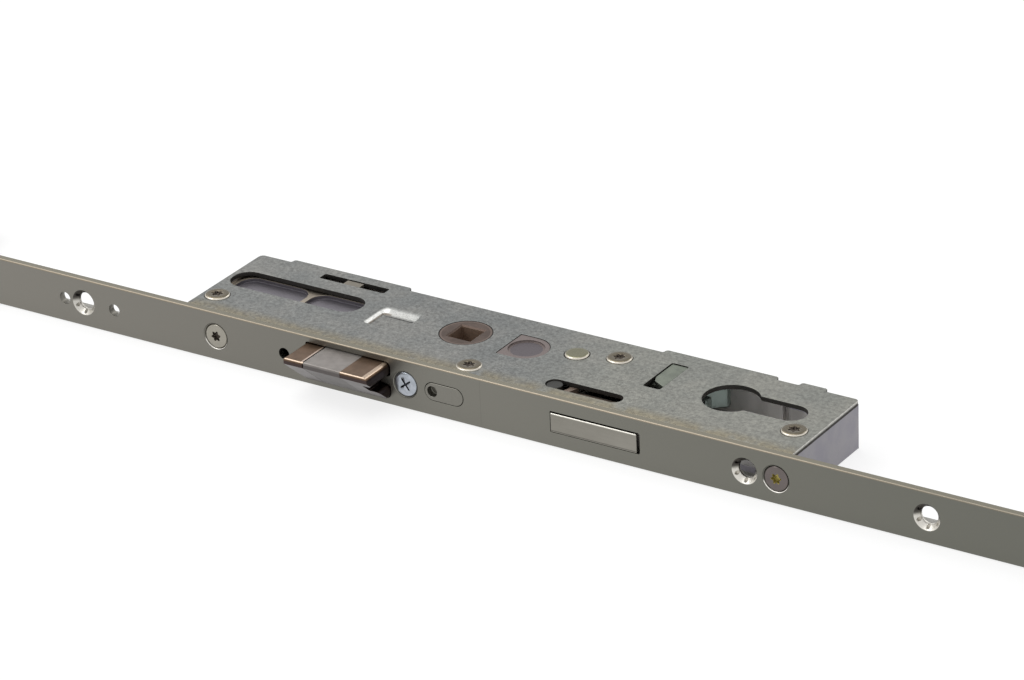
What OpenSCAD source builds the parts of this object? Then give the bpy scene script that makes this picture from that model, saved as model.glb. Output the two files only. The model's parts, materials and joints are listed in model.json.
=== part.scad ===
// Multipoint door lock for a short door leaf: centre lock case, two hook cases and drive rods
// on one faceplate. X runs along the lock towards the cylinder end, Y into the door leaf,
// Z up to the cover. The origin is the spindle axis at half the case's thickness.

/* [Faceplate] */
// Width of the faceplate
faceplate_w = 16; // [15.8:0.1:18]
// Thickness of the faceplate
faceplate_t = 2.5; // [2.3:0.1:3]
// Length from the spindle axis to the upper end
faceplate_up = 300; // [296:1:340]
// Length from the spindle axis to the lower end
faceplate_down = 320; // [316:1:360]
// Radius of the door fixing holes
fixing_r = 2.75; // [2.5:0.05:3]
// Rim radius of the pressed countersinks
dimple_r = 4.1; // [4:0.1:4.6]
// Depth of the pressed countersinks
dimple_depth = 1.65; // [1.2:0.05:1.9]
// Ends of the faceplate to the outer door fixing holes
fixing_end = 10; // [9:0.5:12]
// Spindle axis up to the inner door fixing hole
fixing_up = 125.6; // [124:0.2:127]
// Spindle axis down to the inner door fixing hole
fixing_down = 169.2; // [168:0.2:171]
// Radius of the small accessory holes beside the upper fixing hole
accessory_r = 2; // [1.5:0.1:2.4]
// Places of the accessory holes
accessories = [-132.8, -113.7];

/* [Centre case] */
// Faceplate front to spindle and cylinder axis
backset = 25; // [24.8:0.1:26]
// Spindle axis to cylinder axis
centres = 92; // [91:0.5:93]
// Thickness of the closed case
case_t = 15.6; // [15.4:0.1:16]
// Length of the case above the spindle axis
case_up = 87; // [86.5:0.5:92]
// Length of the case below the spindle axis
case_down = 125.2; // [124.8:0.2:128]
// Depth of the case behind the spindle axis
case_rear = 16.7; // [16.5:0.1:18]
// Wall of the die-cast case
wall = 1.5; // [1.2:0.1:1.7]
// Floor of the die-cast case
floor_t = 1.5; // [1.3:0.1:1.6]
// Thickness of the cover plate
cover_t = 1.5; // [1.3:0.1:1.6]
// Depth of the tabs on the rear edge
tab_depth = 1.8; // [1:0.1:2.2]
// Depth of the seats that the screw heads sit in
seat = 0.3; // [0.2:0.05:0.4]

/* [Spindle and cylinder] */
// Square of the spindle socket
spindle_sq = 8.1; // [8:0.05:8.3]
// Radius of the follower's journal
hub_r = 8.2; // [8:0.1:8.4]
// Radius of the round part of the cylinder cut-out
cylinder_r = 8.65; // [8.5:0.05:8.8]
// Width of the straight part of the cylinder cut-out
cylinder_slot = 10.2; // [10:0.1:10.4]
// Length of the cylinder cut-out
cylinder_len = 33.4; // [33:0.1:33.6]
// Free radius that the cylinder's cam turns in
cam_r = 15.7; // [15.5:0.1:15.9]
// Distance of the cylinder's fixing screw below the cylinder axis
cylinder_screw = 18.6; // [18:0.1:19]

/* [Handle movement] */
// Turn of the drive follower when the handle is lifted
lift = 45; // [40:1:46]
// Turn of the latch follower when the handle is pressed
press = 45; // [40:1:46]
// Stroke of the drive slider and rods
stroke = 18; // [17:0.2:18.2]
// Radius of the link stud on the drive follower
link_r = 14; // [13.6:0.1:14.2]
// Radius of the nose that moves the spring carriage
carriage_r = 11; // [10.6:0.1:11.2]

/* [Latch and deadbolt] */
// Projection of the latch
latch_out = 12; // [11:0.2:12]
// Thickness of the latch head
latch_h = 11.6; // [11:0.1:11.8]
// Upper end of the latch head
latch_x0 = -41.1; // [-41.3:0.1:-40.5]
// Lower end of the latch head
latch_x1 = -11.1; // [-11.6:0.1:-10.9]
// Height of the latch nose above the bevel
nose_h = 1.9; // [1.5:0.1:2.5]
// Upper end of the deadbolt
bolt_x0 = 45.3; // [45.2:0.1:46]
// Lower end of the deadbolt
bolt_x1 = 74.7; // [74:0.1:74.9]
// Thickness of the deadbolt
bolt_h = 6.2; // [6:0.1:6.4]
// Travel of the locking slide
lock_travel = 2.3; // [1.8:0.1:2.4]

/* [Hook cases] */
// Upper end of the faceplate to the upper hook pivot
hook_from_top = 60; // [58:1:62]
// Lower end of the faceplate to the lower hook pivot
hook_from_foot = 68; // [66:1:70]
// Length of a hook case above its pivot
hook_case_a = 40; // [39.5:0.5:42]
// Length of a hook case below its pivot
hook_case_b = 48; // [47.5:0.5:50]
// Depth of the hook pivot relative to the spindle axis
hook_y = -7; // [-7.2:0.1:-6.8]
// Thickness of a hook
hook_t = 6; // [5:0.2:6]
// Outer radius of the hook about its pivot
hook_reach = 38; // [34:1:38]
// Width of the hook arm
hook_w = 9; // [8:0.2:9]
// Radius of the hook pivot pin
hook_pin_r = 3; // [2.5:0.1:3.2]

/* [Rods and slides] */
// Width of the drive rods
rod_w = 12; // [11:0.2:12]
// Thickness of the drive rods
rod_t = 2.2; // [2:0.1:2.3]
// Width of the slots in the drive rods
rod_slot = 5.6; // [5.2:0.1:5.8]
// Radius of the pin that shows in the cover's slot
pin_r = 2.5; // [2.2:0.1:2.6]

/* [Hidden] */
$fn = 64;
// Small overlap that lets a cut run past a face
cut = 0.5;
// Running fit of a shaft, radial
run_fit = 0.05;
// Gap between flat sliding faces
slide_gap = 0.1;
// Gap round a screw shank in its own hole
screw_gap = 0.05;

// Depths, from the faceplate's front into the door
face_front = -backset;
face_back = face_front + faceplate_t;
cover_front = face_back + 0.1;
rod_front = face_back + 0.15;
rod_back = rod_front + rod_t;
behind_rods = rod_back + 0.15;
inner_rear = case_rear - wall;

// Heights, from the floor to the cover
half = case_t / 2;
roof = half - cover_t;
floor_top = floor_t - half;
lever_t = 1.5;
lever_z1 = roof - slide_gap;
lever_z0 = lever_z1 - lever_t;
link_t = 1.3;
link_z1 = lever_z0 - slide_gap;
link_z0 = link_z1 - link_t;
bar_t = 2;
bar_z0 = floor_top + 0.2;
bar_z1 = bar_z0 + bar_t;
boss_top = link_z0 - slide_gap;
bolt_z1 = link_z0 - 0.35;
bolt_z0 = bolt_z1 - bolt_h;

// Door fixings and hook pivots along the faceplate
fixings = [fixing_end - faceplate_up, -fixing_up, fixing_down, faceplate_down - fixing_end];
hook_up = faceplate_up - hook_from_top;
hook_down = faceplate_down - hook_from_foot;

// Tabs of the case along its rear edge
rear_tabs = [[11.5 - case_up, -31.6], [59, 97.5], [case_down - 20.2, case_down - 11.4]];

// Screws that hold the cover, and the screw that also closes the lever's post
cover_screw_r = 1.5;
cover_head_r = 3.95;
screw_head_h = 0.9;
upper_screw = [5.1 - case_up, -13.8];
front_screw = [13.1, -18.3];
lever_post = [49.7, 7];
lower_screw = [case_down - 7, -9.4];
cover_screw_at = [upper_screw, front_screw, lever_post, lower_screw];
post_r = 3;
rivet_at = [37.2, 3.3];
rivet_r = 1.9;
rivet_head_r = 3.75;

// Faceplate screws
face_screw_r = 2;
face_head_r = 4;
face_head_h = 1.9;
upper_face_screw = 12 - case_up;
lower_face_screw = case_down - 4.3;
face_boss = 8;
face_boss_w = 6.4;
reversing_x = -5.6;
reversing_end = -17.2;
cylinder_screw_x = centres + cylinder_screw;

// Boss with a flat side that fills the cover's D-shaped hole
d_boss_x = 21.5;
d_boss_r = 7.2;
d_boss_flat = 6.3;
d_dish_r = 5.6;
d_dish = 0.6;

// Cylinder cut-out
cylinder_end_r = cylinder_slot / 2;
cylinder_end_x = centres + cylinder_len - cylinder_r - cylinder_end_r;

// Pin slot and drive slider
pin_at = [41.6, -16.2];
slot_gap = 0.35;

// Lever angles, from the line that points at the faceplate
lever_reach = lever_post[1] - pin_at[1];
lever_from = atan((pin_at[0] - lever_post[0]) / lever_reach);
lever_to = atan((pin_at[0] + stroke - lever_post[0]) / lever_reach);
stud_r = 2;
link_travel = 2 * link_r * sin(lift / 2);
lever_stud = link_travel / (sin(lever_to) - sin(lever_from));
link_y = -link_r * (1 + cos(lift / 2)) / 2;
link_end_y = lever_post[1] - lever_stud * (1 + cos(lever_to)) / 2;
link_x = -link_r * sin(lift / 2);
link_end_x = lever_post[0] + lever_stud * sin(lever_from);
link_eye = 4.2;
link_half = 2.3;

// Latch follower and latch
latch_r = latch_out / (2 * sin(press / 2));
latch_nose = 2.2;
carriage_travel = 2 * carriage_r * sin(press / 2);
carriage_nose = 2.5;
latch_front = face_front - latch_out;
latch_neck = 3.5;
latch_lobe = 1.5;
latch_gap = 0.25;
insert_x0 = latch_x0 + 7.1;
insert_x1 = latch_x1 - 9.7;
insert_t = 1.5;
latch_head_end = face_front + 1;
latch_block_end = face_front + 11;
latch_block = [-36, -16];
latch_spring_x = -28.8;
latch_stop_y = 5.2;
toe_y = -latch_r * sin(press / 2) + latch_nose + 0.15;

// Spring carriage in the channel along the rear wall
tab_x = [-52.6, -46.6];
rear_slot = [-61.2, tab_x[1] + carriage_travel + 0.8];
rear_slot_y = [11.2, 14.6];
carriage_y = [11.4, inner_rear - 0.2];
carriage_z = [-3.4, -0.2];
return_stop_x = -13;
return_spring_y = 12.3;
return_spring_z = 3.1;

// Transfer bar below the latch
transfer_x = 22;
transfer_y = -16.6;
bar_neck = [-11.5, -8.7];
bar_teeth = [17 - case_up, 25 - case_up];
slider_teeth = [80, 87];
slider_x = [18, 35, 62, 90];
slider_rear = -13.6;

// Slot that shows the locking slide, and the deadbolt's tail beside the cylinder
lock_slot = [[65, 70.8], [-5.2, 11.8]];
tail_x = centres - 9;
rib_x = centres + 8.4;

// Hook geometry
hook_half_turn = atan(stroke / 2 / 11.5);
hook_stud_y = hook_y + 11.5;
hook_rest_turn = 2 * hook_half_turn;
hook_window = [-5.2, hook_reach - 2.4];
hook_teeth = [-32, -25];
hook_face_screws = [-20, 43];
hook_posts = [for (x = [3.5 - hook_case_a, hook_case_b - 3.5], y = [-9, 12]) [x, y]];
hook_post_r = 2.5;

// Drive rods
rod_end = 6;
rod_lip = 1.5;
upper_rod_x = [rod_end - hook_up - hook_case_a, bar_teeth[1] + 0.5];
lower_rod_x = [slider_teeth[0] - rod_lip, hook_down + hook_teeth[1] + rod_lip];

module plate(z0, z1) {
    translate([0, 0, z0])
        linear_extrude(z1 - z0)
            children();
}

// Extrudes a profile drawn in X and Z from depth y0 to depth y1
module upright(y0, y1) {
    translate([0, y1, 0])
        rotate([90, 0, 0])
            linear_extrude(y1 - y0)
                children();
}

// Extrudes a profile drawn in Y and Z from x0 to x1
module lengthwise(x0, x1) {
    translate([x0, 0, 0])
        rotate([90, 0, 90])
            linear_extrude(x1 - x0)
                children();
}

module span(x, y) {
    translate([x[0], y[0]])
        square([x[1] - x[0], y[1] - y[0]]);
}

module block(x, y, z) {
    plate(z[0], z[1])
        span(x, y);
}

module rounded(x, y, r) {
    span([x[0] + r, x[1] - r], y);
    span(x, [y[0] + r, y[1] - r]);
    for (i = [x[0] + r, x[1] - r], j = [y[0] + r, y[1] - r])
        translate([i, j])
            circle(r);
}

// Slot with round ends that reaches from x[0] to x[1] at height y
module obround(x, y, r) {
    span([x[0] + r, x[1] - r], [y - r, y + r]);
    for (i = [x[0] + r, x[1] - r])
        translate([i, y])
            circle(r);
}

module round_post(at, r, z0, z1) {
    translate([at[0], at[1], z0])
        cylinder(h = z1 - z0, r = r);
}

// Cylinder along Y from depth y0 to depth y1
module drill(x, y0, y1, r, r_end = -1) {
    translate([x, y0, 0])
        rotate([-90, 0, 0])
            cylinder(h = y1 - y0, r1 = r, r2 = r_end < 0 ? r : r_end);
}

// Six-lobe screw socket, drawn flat
module six_lobe() {
    circle(1.1);
    for (a = [0:60:300])
        rotate(a)
            translate([1.2, 0])
                circle(0.45);
}

// Outline of the centre case, shrunk by inset at its ends
module case_outline(inset, corner) {
    front = face_back + 0.1;
    ends = [inset - case_up, case_down - inset];
    rounded(ends, [front, case_rear], corner);
    span(ends, [front, front + 4]);
    for (t = rear_tabs)
        rounded(t, [case_rear - 4, case_rear + tab_depth], 1);
}

module cylinder_outline(grow) {
    translate([centres, 0])
        circle(cylinder_r + grow);
    obround([centres, cylinder_end_x + cylinder_end_r + grow], 0, cylinder_end_r + grow);
}

module d_outline(grow) {
    reach = d_boss_r + grow;
    translate([d_boss_x, 0])
        intersection() {
            union() {
                circle(reach);
                span([-reach, 0], [-reach, reach]);
            }
            span([-d_boss_flat - grow, reach], [-reach, reach]);
        }
}

module faceplate() {
    color([0.5, 0.49, 0.46])
        difference() {
            upright(face_front, face_back)
                difference() {
                    obround([-faceplate_up, faceplate_down], 0, faceplate_w / 2);
                    latch_outline(latch_gap);
                    rounded([bolt_x0 - 0.25, bolt_x1 + 1.05], [bolt_z0 - 0.1, bolt_z1 + 0.5], 0.3);
                    obround(plug_x, 0, plug_r);
                    for (h = [-hook_up, hook_down])
                        translate([h, 0])
                            rounded(hook_window, [-hook_t / 2 - 0.5, hook_t / 2 + 0.5], 1);
                }
            for (x = concat(fixings, [cylinder_screw_x]))
                dimple(x);
            for (x = accessories)
                drill(x, face_front - cut, face_back + cut, accessory_r);
            drill(-49.6, face_front - cut, face_back + cut, 1.9);
            for (x = concat(all_face_screws, [reversing_x])) {
                drill(x, face_front - cut, face_back + cut, face_screw_r + screw_gap);
                countersink(x, screw_gap);
            }
        }
}

plug_x = [1.3, 15];
plug_r = 3;
plug_hole = 1.7;

all_face_screws = concat([upper_face_screw, lower_face_screw],
    [for (h = [-hook_up, hook_down], s = hook_face_screws) h + s]);

// Conical seat of a flush screw head in the faceplate
module countersink(x, grow) {
    drill(x, face_front - grow, face_front + 0.3 + grow, face_head_r + grow);
    drill(x, face_front + 0.3, face_front + face_head_h + grow, face_head_r + grow,
        face_screw_r + grow);
}

// Pressed countersink with six relief slits that end in small round holes
module dimple(x) {
    drill(x, face_front - cut, face_back + cut, fixing_r);
    drill(x, face_front - 0.01, face_front + dimple_depth, dimple_r, fixing_r);
    for (a = [30:60:150])
        upright(face_front - cut, face_front + dimple_depth)
            translate([x, 0])
                rotate(a) {
                    obround([-dimple_r + 0.4, dimple_r - 0.4], 0, 0.28);
                    for (s = [-1, 1])
                        translate([s * (dimple_r - 0.75), 0])
                            circle(0.5);
                }
}

module case_body() {
    color([0.56, 0.55, 0.57])
        difference() {
            union() {
                difference() {
                    plate(-half, roof)
                        case_outline(0.25, 0.6);
                    block([wall - case_up, case_down - wall], [face_back - 1, inner_rear],
                        [floor_top, roof + 1]);
                }
                for (p = cover_screw_at)
                    round_post(p, post_r, floor_top - cut, roof);
                round_post(rivet_at, 3.2, floor_top - cut, roof);
                plate(-half, half - 0.15)
                    d_outline(-0.1);
                for (x = [upper_face_screw, lower_face_screw])
                    block([x - face_boss_w / 2, x + face_boss_w / 2],
                        [behind_rods, behind_rods + face_boss], [floor_top - cut, boss_top]);
                block([reversing_x - 3.2, reversing_x + 3.2], [face_back, reversing_end],
                    [floor_top - cut, boss_top]);
                handle_end_platform();
                block([return_stop_x, return_stop_x + 1.5], [9.6, inner_rear + cut],
                    [0.1, roof]);
                block([-33, -24.6], [latch_stop_y, latch_stop_y + 1.6],
                    [floor_top - cut, boss_top]);
                for (x = [47, 71])
                    block([x, x + 2], [behind_rods, 1], [floor_top - cut, bolt_z0 - slide_gap]);
                cylinder_collar();
                block([rib_x, rib_x + 1], [cam_r - 2.2, inner_rear + cut], [floor_top - cut, roof]);
            }
            round_post([centres, 0], cam_r, -5.5, 5.5);
            round_post([0, 0], hub_r + run_fit, -half - cut, floor_top + cut);
            plate(-half - cut, floor_top + cut)
                cylinder_outline(0);
            for (p = cover_screw_at)
                round_post(p, cover_screw_r + screw_gap, roof - 9, roof + cut);
            round_post(rivet_at, rivet_r + screw_gap, -half - cut, roof + cut);
            round_post(rivet_at, 3.4, -half - cut, 0.8 - half);
            for (x = [upper_face_screw, lower_face_screw])
                drill(x, face_back, behind_rods + face_boss - 1, face_screw_r + screw_gap);
            drill(reversing_x, face_back - cut, reversing_end - 1, face_screw_r + screw_gap);
            drill(cylinder_screw_x, -12, 0, 2.8);
            round_post([d_boss_x, 0], d_dish_r, half - 0.15 - d_dish, half + cut);
            round_post([d_boss_x, 0], d_dish_r, -half - cut, 2);
            for (x = [-case_up - cut, case_down - wall - cut])
                block([x, x + wall + 2 * cut], [face_back - 1, behind_rods],
                    [floor_top, roof + cut]);
            platform_hollows();
        }
}

platform_x = [wall - case_up - cut, -36.5];
platform_y = [-7.2, 6.8];
platform_top = 5.6;
platform_rib = [27.5 - case_up, -57.8];

// Raised casting with two shallow pockets, seen through the cover's long slot
module handle_end_platform() {
    difference() {
        block(platform_x, platform_y, [floor_top - cut, platform_top]);
        for (x = [[2.8 - case_up, platform_rib[0]], [platform_rib[1], -37.4]])
            plate(platform_top - 1.3, platform_top + cut)
                rounded(x, [-6.2, 6], 5);
    }
}

// The casting is cored from below, with one rib left across
module platform_hollows() {
    for (x = [[3.4 - case_up, 25.5 - case_up], [27.1 - case_up, -38.2]])
        plate(-half - cut, platform_top - 2.8)
            rounded(x, [platform_y[0] + 1.6, platform_y[1] - 1.6], 2);
}

// Collar that guides the straight part of the cylinder, clear of its cam
module cylinder_collar() {
    difference() {
        union() {
            plate(floor_top - cut, roof)
                intersection() {
                    cylinder_outline(1.8);
                    span([cylinder_end_x - 3.4, case_down - wall], [-9, 9]);
                }
            block([cylinder_end_x - 0.8, cylinder_end_x + 0.8], [cylinder_end_r + 1, inner_rear + cut],
                [floor_top - cut, roof]);
        }
        plate(floor_top - 2 * cut, roof + cut)
            cylinder_outline(0.05);
    }
}

module case_cover() {
    color([0.57, 0.58, 0.57])
        difference() {
            union() {
                plate(roof, half)
                    case_outline(0, 1.6);
                pressed_guide(cover_t, 0.4);
            }
            pressed_guide(0, 0);
            seats(cover_screw_at, cover_head_r);
            seats([rivet_at], rivet_head_r);
            plate(roof - cut, half + cut) {
                circle(hub_r + run_fit);
                cylinder_outline(0);
                d_outline(0);
                rounded([2.2 - case_up, -37.7], [-5.7, 5.3], 5.2);
                rounded(rear_slot, rear_slot_y, 0.6);
                obround([pin_at[0] - pin_r - 0.25, pin_at[0] + stroke + pin_r + 2.6], pin_at[1],
                    pin_r + 0.25);
                rounded(lock_slot[0], lock_slot[1], 0.7);
                translate(rivet_at)
                    circle(rivet_r + screw_gap);
                for (p = cover_screw_at)
                    translate(p)
                        circle(cover_screw_r + screw_gap);
            }
        }
}

// Shallow seats that the heads of radius r sit in
module seats(points, r) {
    for (p = points)
        round_post(p, r + 0.25, half - seat, half + cut);
}

// Step pressed into the cover beside the latch, with a ramp on its upper and rear sides
press_depth = 1.2;
press_x = [-32.2, -30.4, -18.4];
press_y = [-8, 0.1, 2.9];

module pressed_guide(below, grow) {
    top = below == 0 ? half + cut : roof + 0.01;
    bottom = half - press_depth - below;
    intersection() {
        lengthwise(press_x[0] - 2, press_x[2] + grow)
            polygon([[press_y[0] - grow, top], [press_y[0] - grow, bottom], [press_y[1] + grow, bottom],
                [press_y[2] + grow, bottom + press_depth], [press_y[2] + grow, top]]);
        translate([0, press_y[2] + 2, 0])
            rotate([90, 0, 0])
                linear_extrude(press_y[2] - press_y[0] + 4)
                    polygon([[press_x[2] + grow, top], [press_x[2] + grow, bottom],
                        [press_x[1] - grow, bottom], [press_x[0] - grow, bottom + press_depth],
                        [press_x[0] - grow, top]]);
    }
}

module cover_screw(at) {
    translate([at[0], at[1], 0])
        difference() {
            union() {
                translate([0, 0, half - seat])
                    cylinder(h = 0.45, r = cover_head_r);
                translate([0, 0, half - seat + 0.45])
                    cylinder(h = screw_head_h - 0.45, r1 = cover_head_r, r2 = cover_head_r - 0.6);
                translate([0, 0, roof - 8])
                    cylinder(h = half - roof + 8, r = cover_screw_r);
            }
            plate(half - seat + 0.15, half + 2)
                six_lobe();
        }
}

module cover_screws() {
    color([0.62, 0.6, 0.55])
        for (p = cover_screw_at)
            cover_screw(p);
}

module cover_rivet() {
    color([0.66, 0.65, 0.6]) {
        round_post(rivet_at, rivet_r, 0.8 - half, half);
        translate([rivet_at[0], rivet_at[1], half - seat])
            cylinder(h = screw_head_h, r1 = rivet_head_r, r2 = rivet_head_r - 0.45);
        round_post(rivet_at, 3.2, 0.05 - half, 0.8 - half);
    }
}

// Flush countersunk screw that runs along Y
module face_screw(x, end) {
    difference() {
        union() {
            countersink(x, 0);
            drill(x, face_front + face_head_h - 0.01, end, face_screw_r);
        }
        upright(face_front - cut, face_front + 1.1)
            translate([x, 0])
                children();
    }
}

module faceplate_screws() {
    color([0.6, 0.58, 0.5])
        for (x = all_face_screws)
            face_screw(x, behind_rods + face_boss - 1.2)
                six_lobe();
}

module latch_reversing_screw() {
    color([0.75, 0.77, 0.8])
        face_screw(reversing_x, reversing_end - 1.2)
            for (a = [20, 110])
                rotate(a)
                    obround([-1.9, 1.9], 0, 0.42);
}

module locating_plug() {
    color([0.53, 0.52, 0.48])
        difference() {
            union() {
                upright(face_front - 0.15, face_back)
                    obround([plug_x[0] + 0.15, plug_x[1] - 0.15], 0, plug_r - 0.15);
                upright(face_back, face_back + 1)
                    rounded([plug_x[0] - 1.5, plug_x[1] - 5], [-4.6, 4.6], 1);
            }
            drill(plug_x[0] + 2.7, face_front - 1, face_back - 0.4, plug_hole);
        }
}

// Drive follower, upper half: a stud on its arm moves the link
module drive_follower() {
    color([0.45, 0.38, 0.33])
        difference() {
            union() {
                round_post([0, 0], hub_r, 0.05, half - 0.1);
                round_post([0, 0], 10, 0.05, boss_top);
                rotate(-90 - lift / 2) {
                    block([0, link_r], [-2.6, 2.6], [0.25, boss_top]);
                    round_post([link_r, 0], 2.6, 0.25, boss_top);
                    round_post([link_r, 0], stud_r, 0.25, link_z1 + 0.05);
                }
            }
            spindle_socket();
        }
}

module spindle_socket() {
    block([-spindle_sq / 2, spindle_sq / 2], [-spindle_sq / 2, spindle_sq / 2],
        [-half - cut, half + cut]);
}

// Latch follower, lower half: one nose draws the latch in, the other moves the spring carriage
module latch_follower() {
    color([0.45, 0.38, 0.33])
        difference() {
            union() {
                round_post([0, 0], hub_r, 0.1 - half, -0.05);
                round_post([0, 0], 10, -3.3, -0.05);
                rotate(180 + press / 2)
                    follower_nose(latch_r, latch_nose, 1.7);
                rotate(90 + press / 2)
                    follower_nose(carriage_r, carriage_nose, 2.2);
            }
            spindle_socket();
        }
}

module follower_nose(reach, r, arm) {
    block([0, reach], [-arm, arm], [-3.3, -0.25]);
    round_post([reach, 0], r, -3.3, -0.25);
}

// Slot across the link that a stud runs in
module link_eye_slot(at, play) {
    translate(at)
        rotate(90)
            obround([-play - stud_r - 0.2, play + stud_r + 0.2], 0, stud_r + 0.15);
}

module follower_link() {
    dip = link_r * (1 - cos(lift / 2)) / 2;
    end_dip = lever_stud * (1 - cos(lever_to)) / 2;
    a = [link_x, link_y];
    b = [link_end_x, link_end_y];
    run = norm(b - a);
    color([0.6, 0.6, 0.56])
        plate(link_z0, link_z1)
            difference() {
                union() {
                    for (p = [a, b])
                        translate(p)
                            circle(link_eye);
                    translate(a)
                        rotate(atan2(b[1] - a[1], b[0] - a[0]))
                            span([0, run], [-link_half, link_half]);
                }
                link_eye_slot(a, dip);
                link_eye_slot(b, end_dip);
            }
}

module drive_lever() {
    color([0.62, 0.61, 0.56])
        translate([lever_post[0], lever_post[1], 0])
            rotate(lever_from - 90) {
                difference() {
                    plate(lever_z0, lever_z1) {
                        circle(5.2);
                        span([0, lever_reach + 3.6], [-4.7, 4.7]);
                    }
                    round_post([0, 0], post_r + run_fit, lever_z0 - cut, lever_z1 + cut);
                    plate(lever_z0 - cut, lever_z1 + cut)
                        obround([lever_reach - 3.6, lever_reach + 12], 0, pin_r + 0.4);
                }
                round_post([lever_stud, 0], stud_r, link_z0 + 0.05, lever_z0 + 0.2);
            }
}

module drive_slider() {
    color([0.62, 0.61, 0.56])
        difference() {
            plate(link_z0, link_z1) {
                span([slider_x[0], slider_x[2]], [rod_back, slider_rear]);
                span([slider_x[1], slider_x[2]], [slider_rear - 1, slider_rear + 1.1]);
                span([slider_x[2] - 2, slider_x[3]], [rod_back, -16]);
                span(slider_teeth, [rod_front, rod_back + 1]);
            }
            round_post(pin_at, pin_r, link_z0 - cut, link_z1 + cut);
            round_post([transfer_x, transfer_y], stud_r, link_z0 - cut, link_z1 + cut);
        }
}

module slider_pin() {
    color([0.5, 0.5, 0.49])
        round_post(pin_at, pin_r, link_z0, half - 0.35);
}

module transfer_bar() {
    color([0.6, 0.6, 0.57])
        difference() {
            plate(bar_z0, bar_z1) {
                span([bar_teeth[0], bar_teeth[1] + 0.5], [rod_back, bar_neck[1]]);
                span(bar_teeth, [rod_front, rod_back + 1]);
                span([bar_teeth[0], transfer_x + 4], bar_neck);
                span([transfer_x - 4, transfer_x + 4], [transfer_y - 2.6, bar_neck[1]]);
            }
            round_post([transfer_x, transfer_y], stud_r, bar_z0 - cut, bar_z1 + cut);
        }
}

module transfer_pin() {
    color([0.55, 0.54, 0.5])
        round_post([transfer_x, transfer_y], stud_r, bar_z0, link_z1);
}

// Slot in a rod that lets it slide past a screw at x
module rod_pass(x, r) {
    rounded([x - stroke - r - 0.7, x + r + 0.7], [-rod_slot / 2, rod_slot / 2], 1);
}

module tooth_hole(x, z) {
    span([x[0] - 0.1, x[1] + 0.1], z);
}

module upper_rod() {
    color([0.6, 0.6, 0.57])
        upright(rod_front, rod_back)
            difference() {
                span(upper_rod_x, [-rod_w / 2, rod_w / 2]);
                translate([-hook_up, 0]) {
                    tooth_hole(hook_teeth, [link_z0 - 0.05, link_z1 + 0.05]);
                    span([hook_window[0] - stroke, hook_window[1]], [-hook_t / 2 - 0.5, hook_t / 2 + 0.5]);
                    for (s = hook_face_screws)
                        rod_pass(s, face_screw_r);
                }
                tooth_hole(bar_teeth, [-rod_w / 2 - cut, bar_z1 + 0.05]);
                rod_pass(upper_face_screw, face_screw_r);
                rounded([fixings[1] - stroke - 3.4, accessories[1] + accessory_r + 1],
                    [-rod_slot / 2, rod_slot / 2], 1);
            }
}

module lower_rod() {
    color([0.6, 0.6, 0.57])
        upright(rod_front, rod_back)
            difference() {
                span(lower_rod_x, [-rod_w / 2, rod_w / 2]);
                tooth_hole(slider_teeth, [link_z0 - 0.05, link_z1 + 0.05]);
                rod_pass(cylinder_screw_x, 2.5);
                rod_pass(lower_face_screw, face_screw_r);
                rod_pass(fixings[2], fixing_r);
                translate([hook_down, 0]) {
                    tooth_hole(hook_teeth, [link_z0 - 0.05, link_z1 + 0.05]);
                    rod_pass(hook_face_screws[0], face_screw_r);
                }
            }
}

// Cross-section of the latch head, the same when the latch is turned over
module latch_outline(grow) {
    reach = latch_h / 2 + grow;
    rounded([latch_x0 - grow, latch_x1 - latch_neck + grow], [-reach, reach], 0.6);
    for (z = [[latch_lobe - grow, reach], [-reach, grow - latch_lobe]])
        rounded([latch_x1 - latch_neck - 3, latch_x1 + grow], z, 1.5);
}

// Line of the bevel in Y and Z, moved inwards by t
bevel_from = [latch_front, latch_h / 2 - nose_h];
bevel_to = [face_front - 0.3, -latch_h / 2 - 0.6];
bevel_slope = (bevel_to[1] - bevel_from[1]) / (bevel_to[0] - bevel_from[0]);
bevel_angle = atan(bevel_slope);

function bevel_z(y, t) = bevel_from[1] + (y - bevel_from[0]) * bevel_slope + t / cos(bevel_angle);

module latch_solid() {
    difference() {
        upright(latch_front, latch_head_end)
            latch_outline(0);
        lengthwise(latch_x0 - 1, latch_x1 + 1)
            polygon([[latch_front - 1, bevel_z(latch_front - 1, 0)], bevel_to,
                [bevel_to[0], -latch_h], [latch_front - 1, -latch_h]]);
    }
}

// Core of the latch head that the insert is clipped over
module latch_core() {
    top = latch_h / 2 - insert_t;
    front = (top - 0.6 - bevel_z(0, insert_t)) / bevel_slope;
    low = (-top - bevel_z(0, insert_t)) / bevel_slope;
    lengthwise(insert_x0 - 1, insert_x1 + 1)
        polygon([[front, top], [latch_head_end - 0.2, top], [latch_head_end - 0.2, -top],
            [low, -top], [front, bevel_z(front, insert_t)]]);
}

module insert_solid() {
    difference() {
        intersection() {
            latch_solid();
            block([insert_x0, insert_x1], [latch_front - 1, latch_head_end - 0.4], [-half, half]);
        }
        latch_core();
    }
}

module latch_head() {
    toe = [toe_y, toe_y + 2.3];
    shank = [-latch_r - latch_nose - 5.5, -latch_r - latch_nose - 0.5];
    color([0.46, 0.4, 0.35]) {
        difference() {
            latch_solid();
            block([insert_x0, insert_x1], [latch_front - 1, latch_head_end - 0.4], [-half, half]);
        }
        latch_core();
        block(latch_block, [latch_head_end - 0.5, latch_block_end], [-3.3, boss_top]);
        block(shank, [latch_block_end - 0.5, toe[1]], [-3.3, -0.2]);
        block([shank[1] - 0.5, -latch_r + 1.6], toe, [-3.3, -0.2]);
    }
}

module latch_insert() {
    color([0.56, 0.55, 0.54])
        insert_solid();
}

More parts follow.
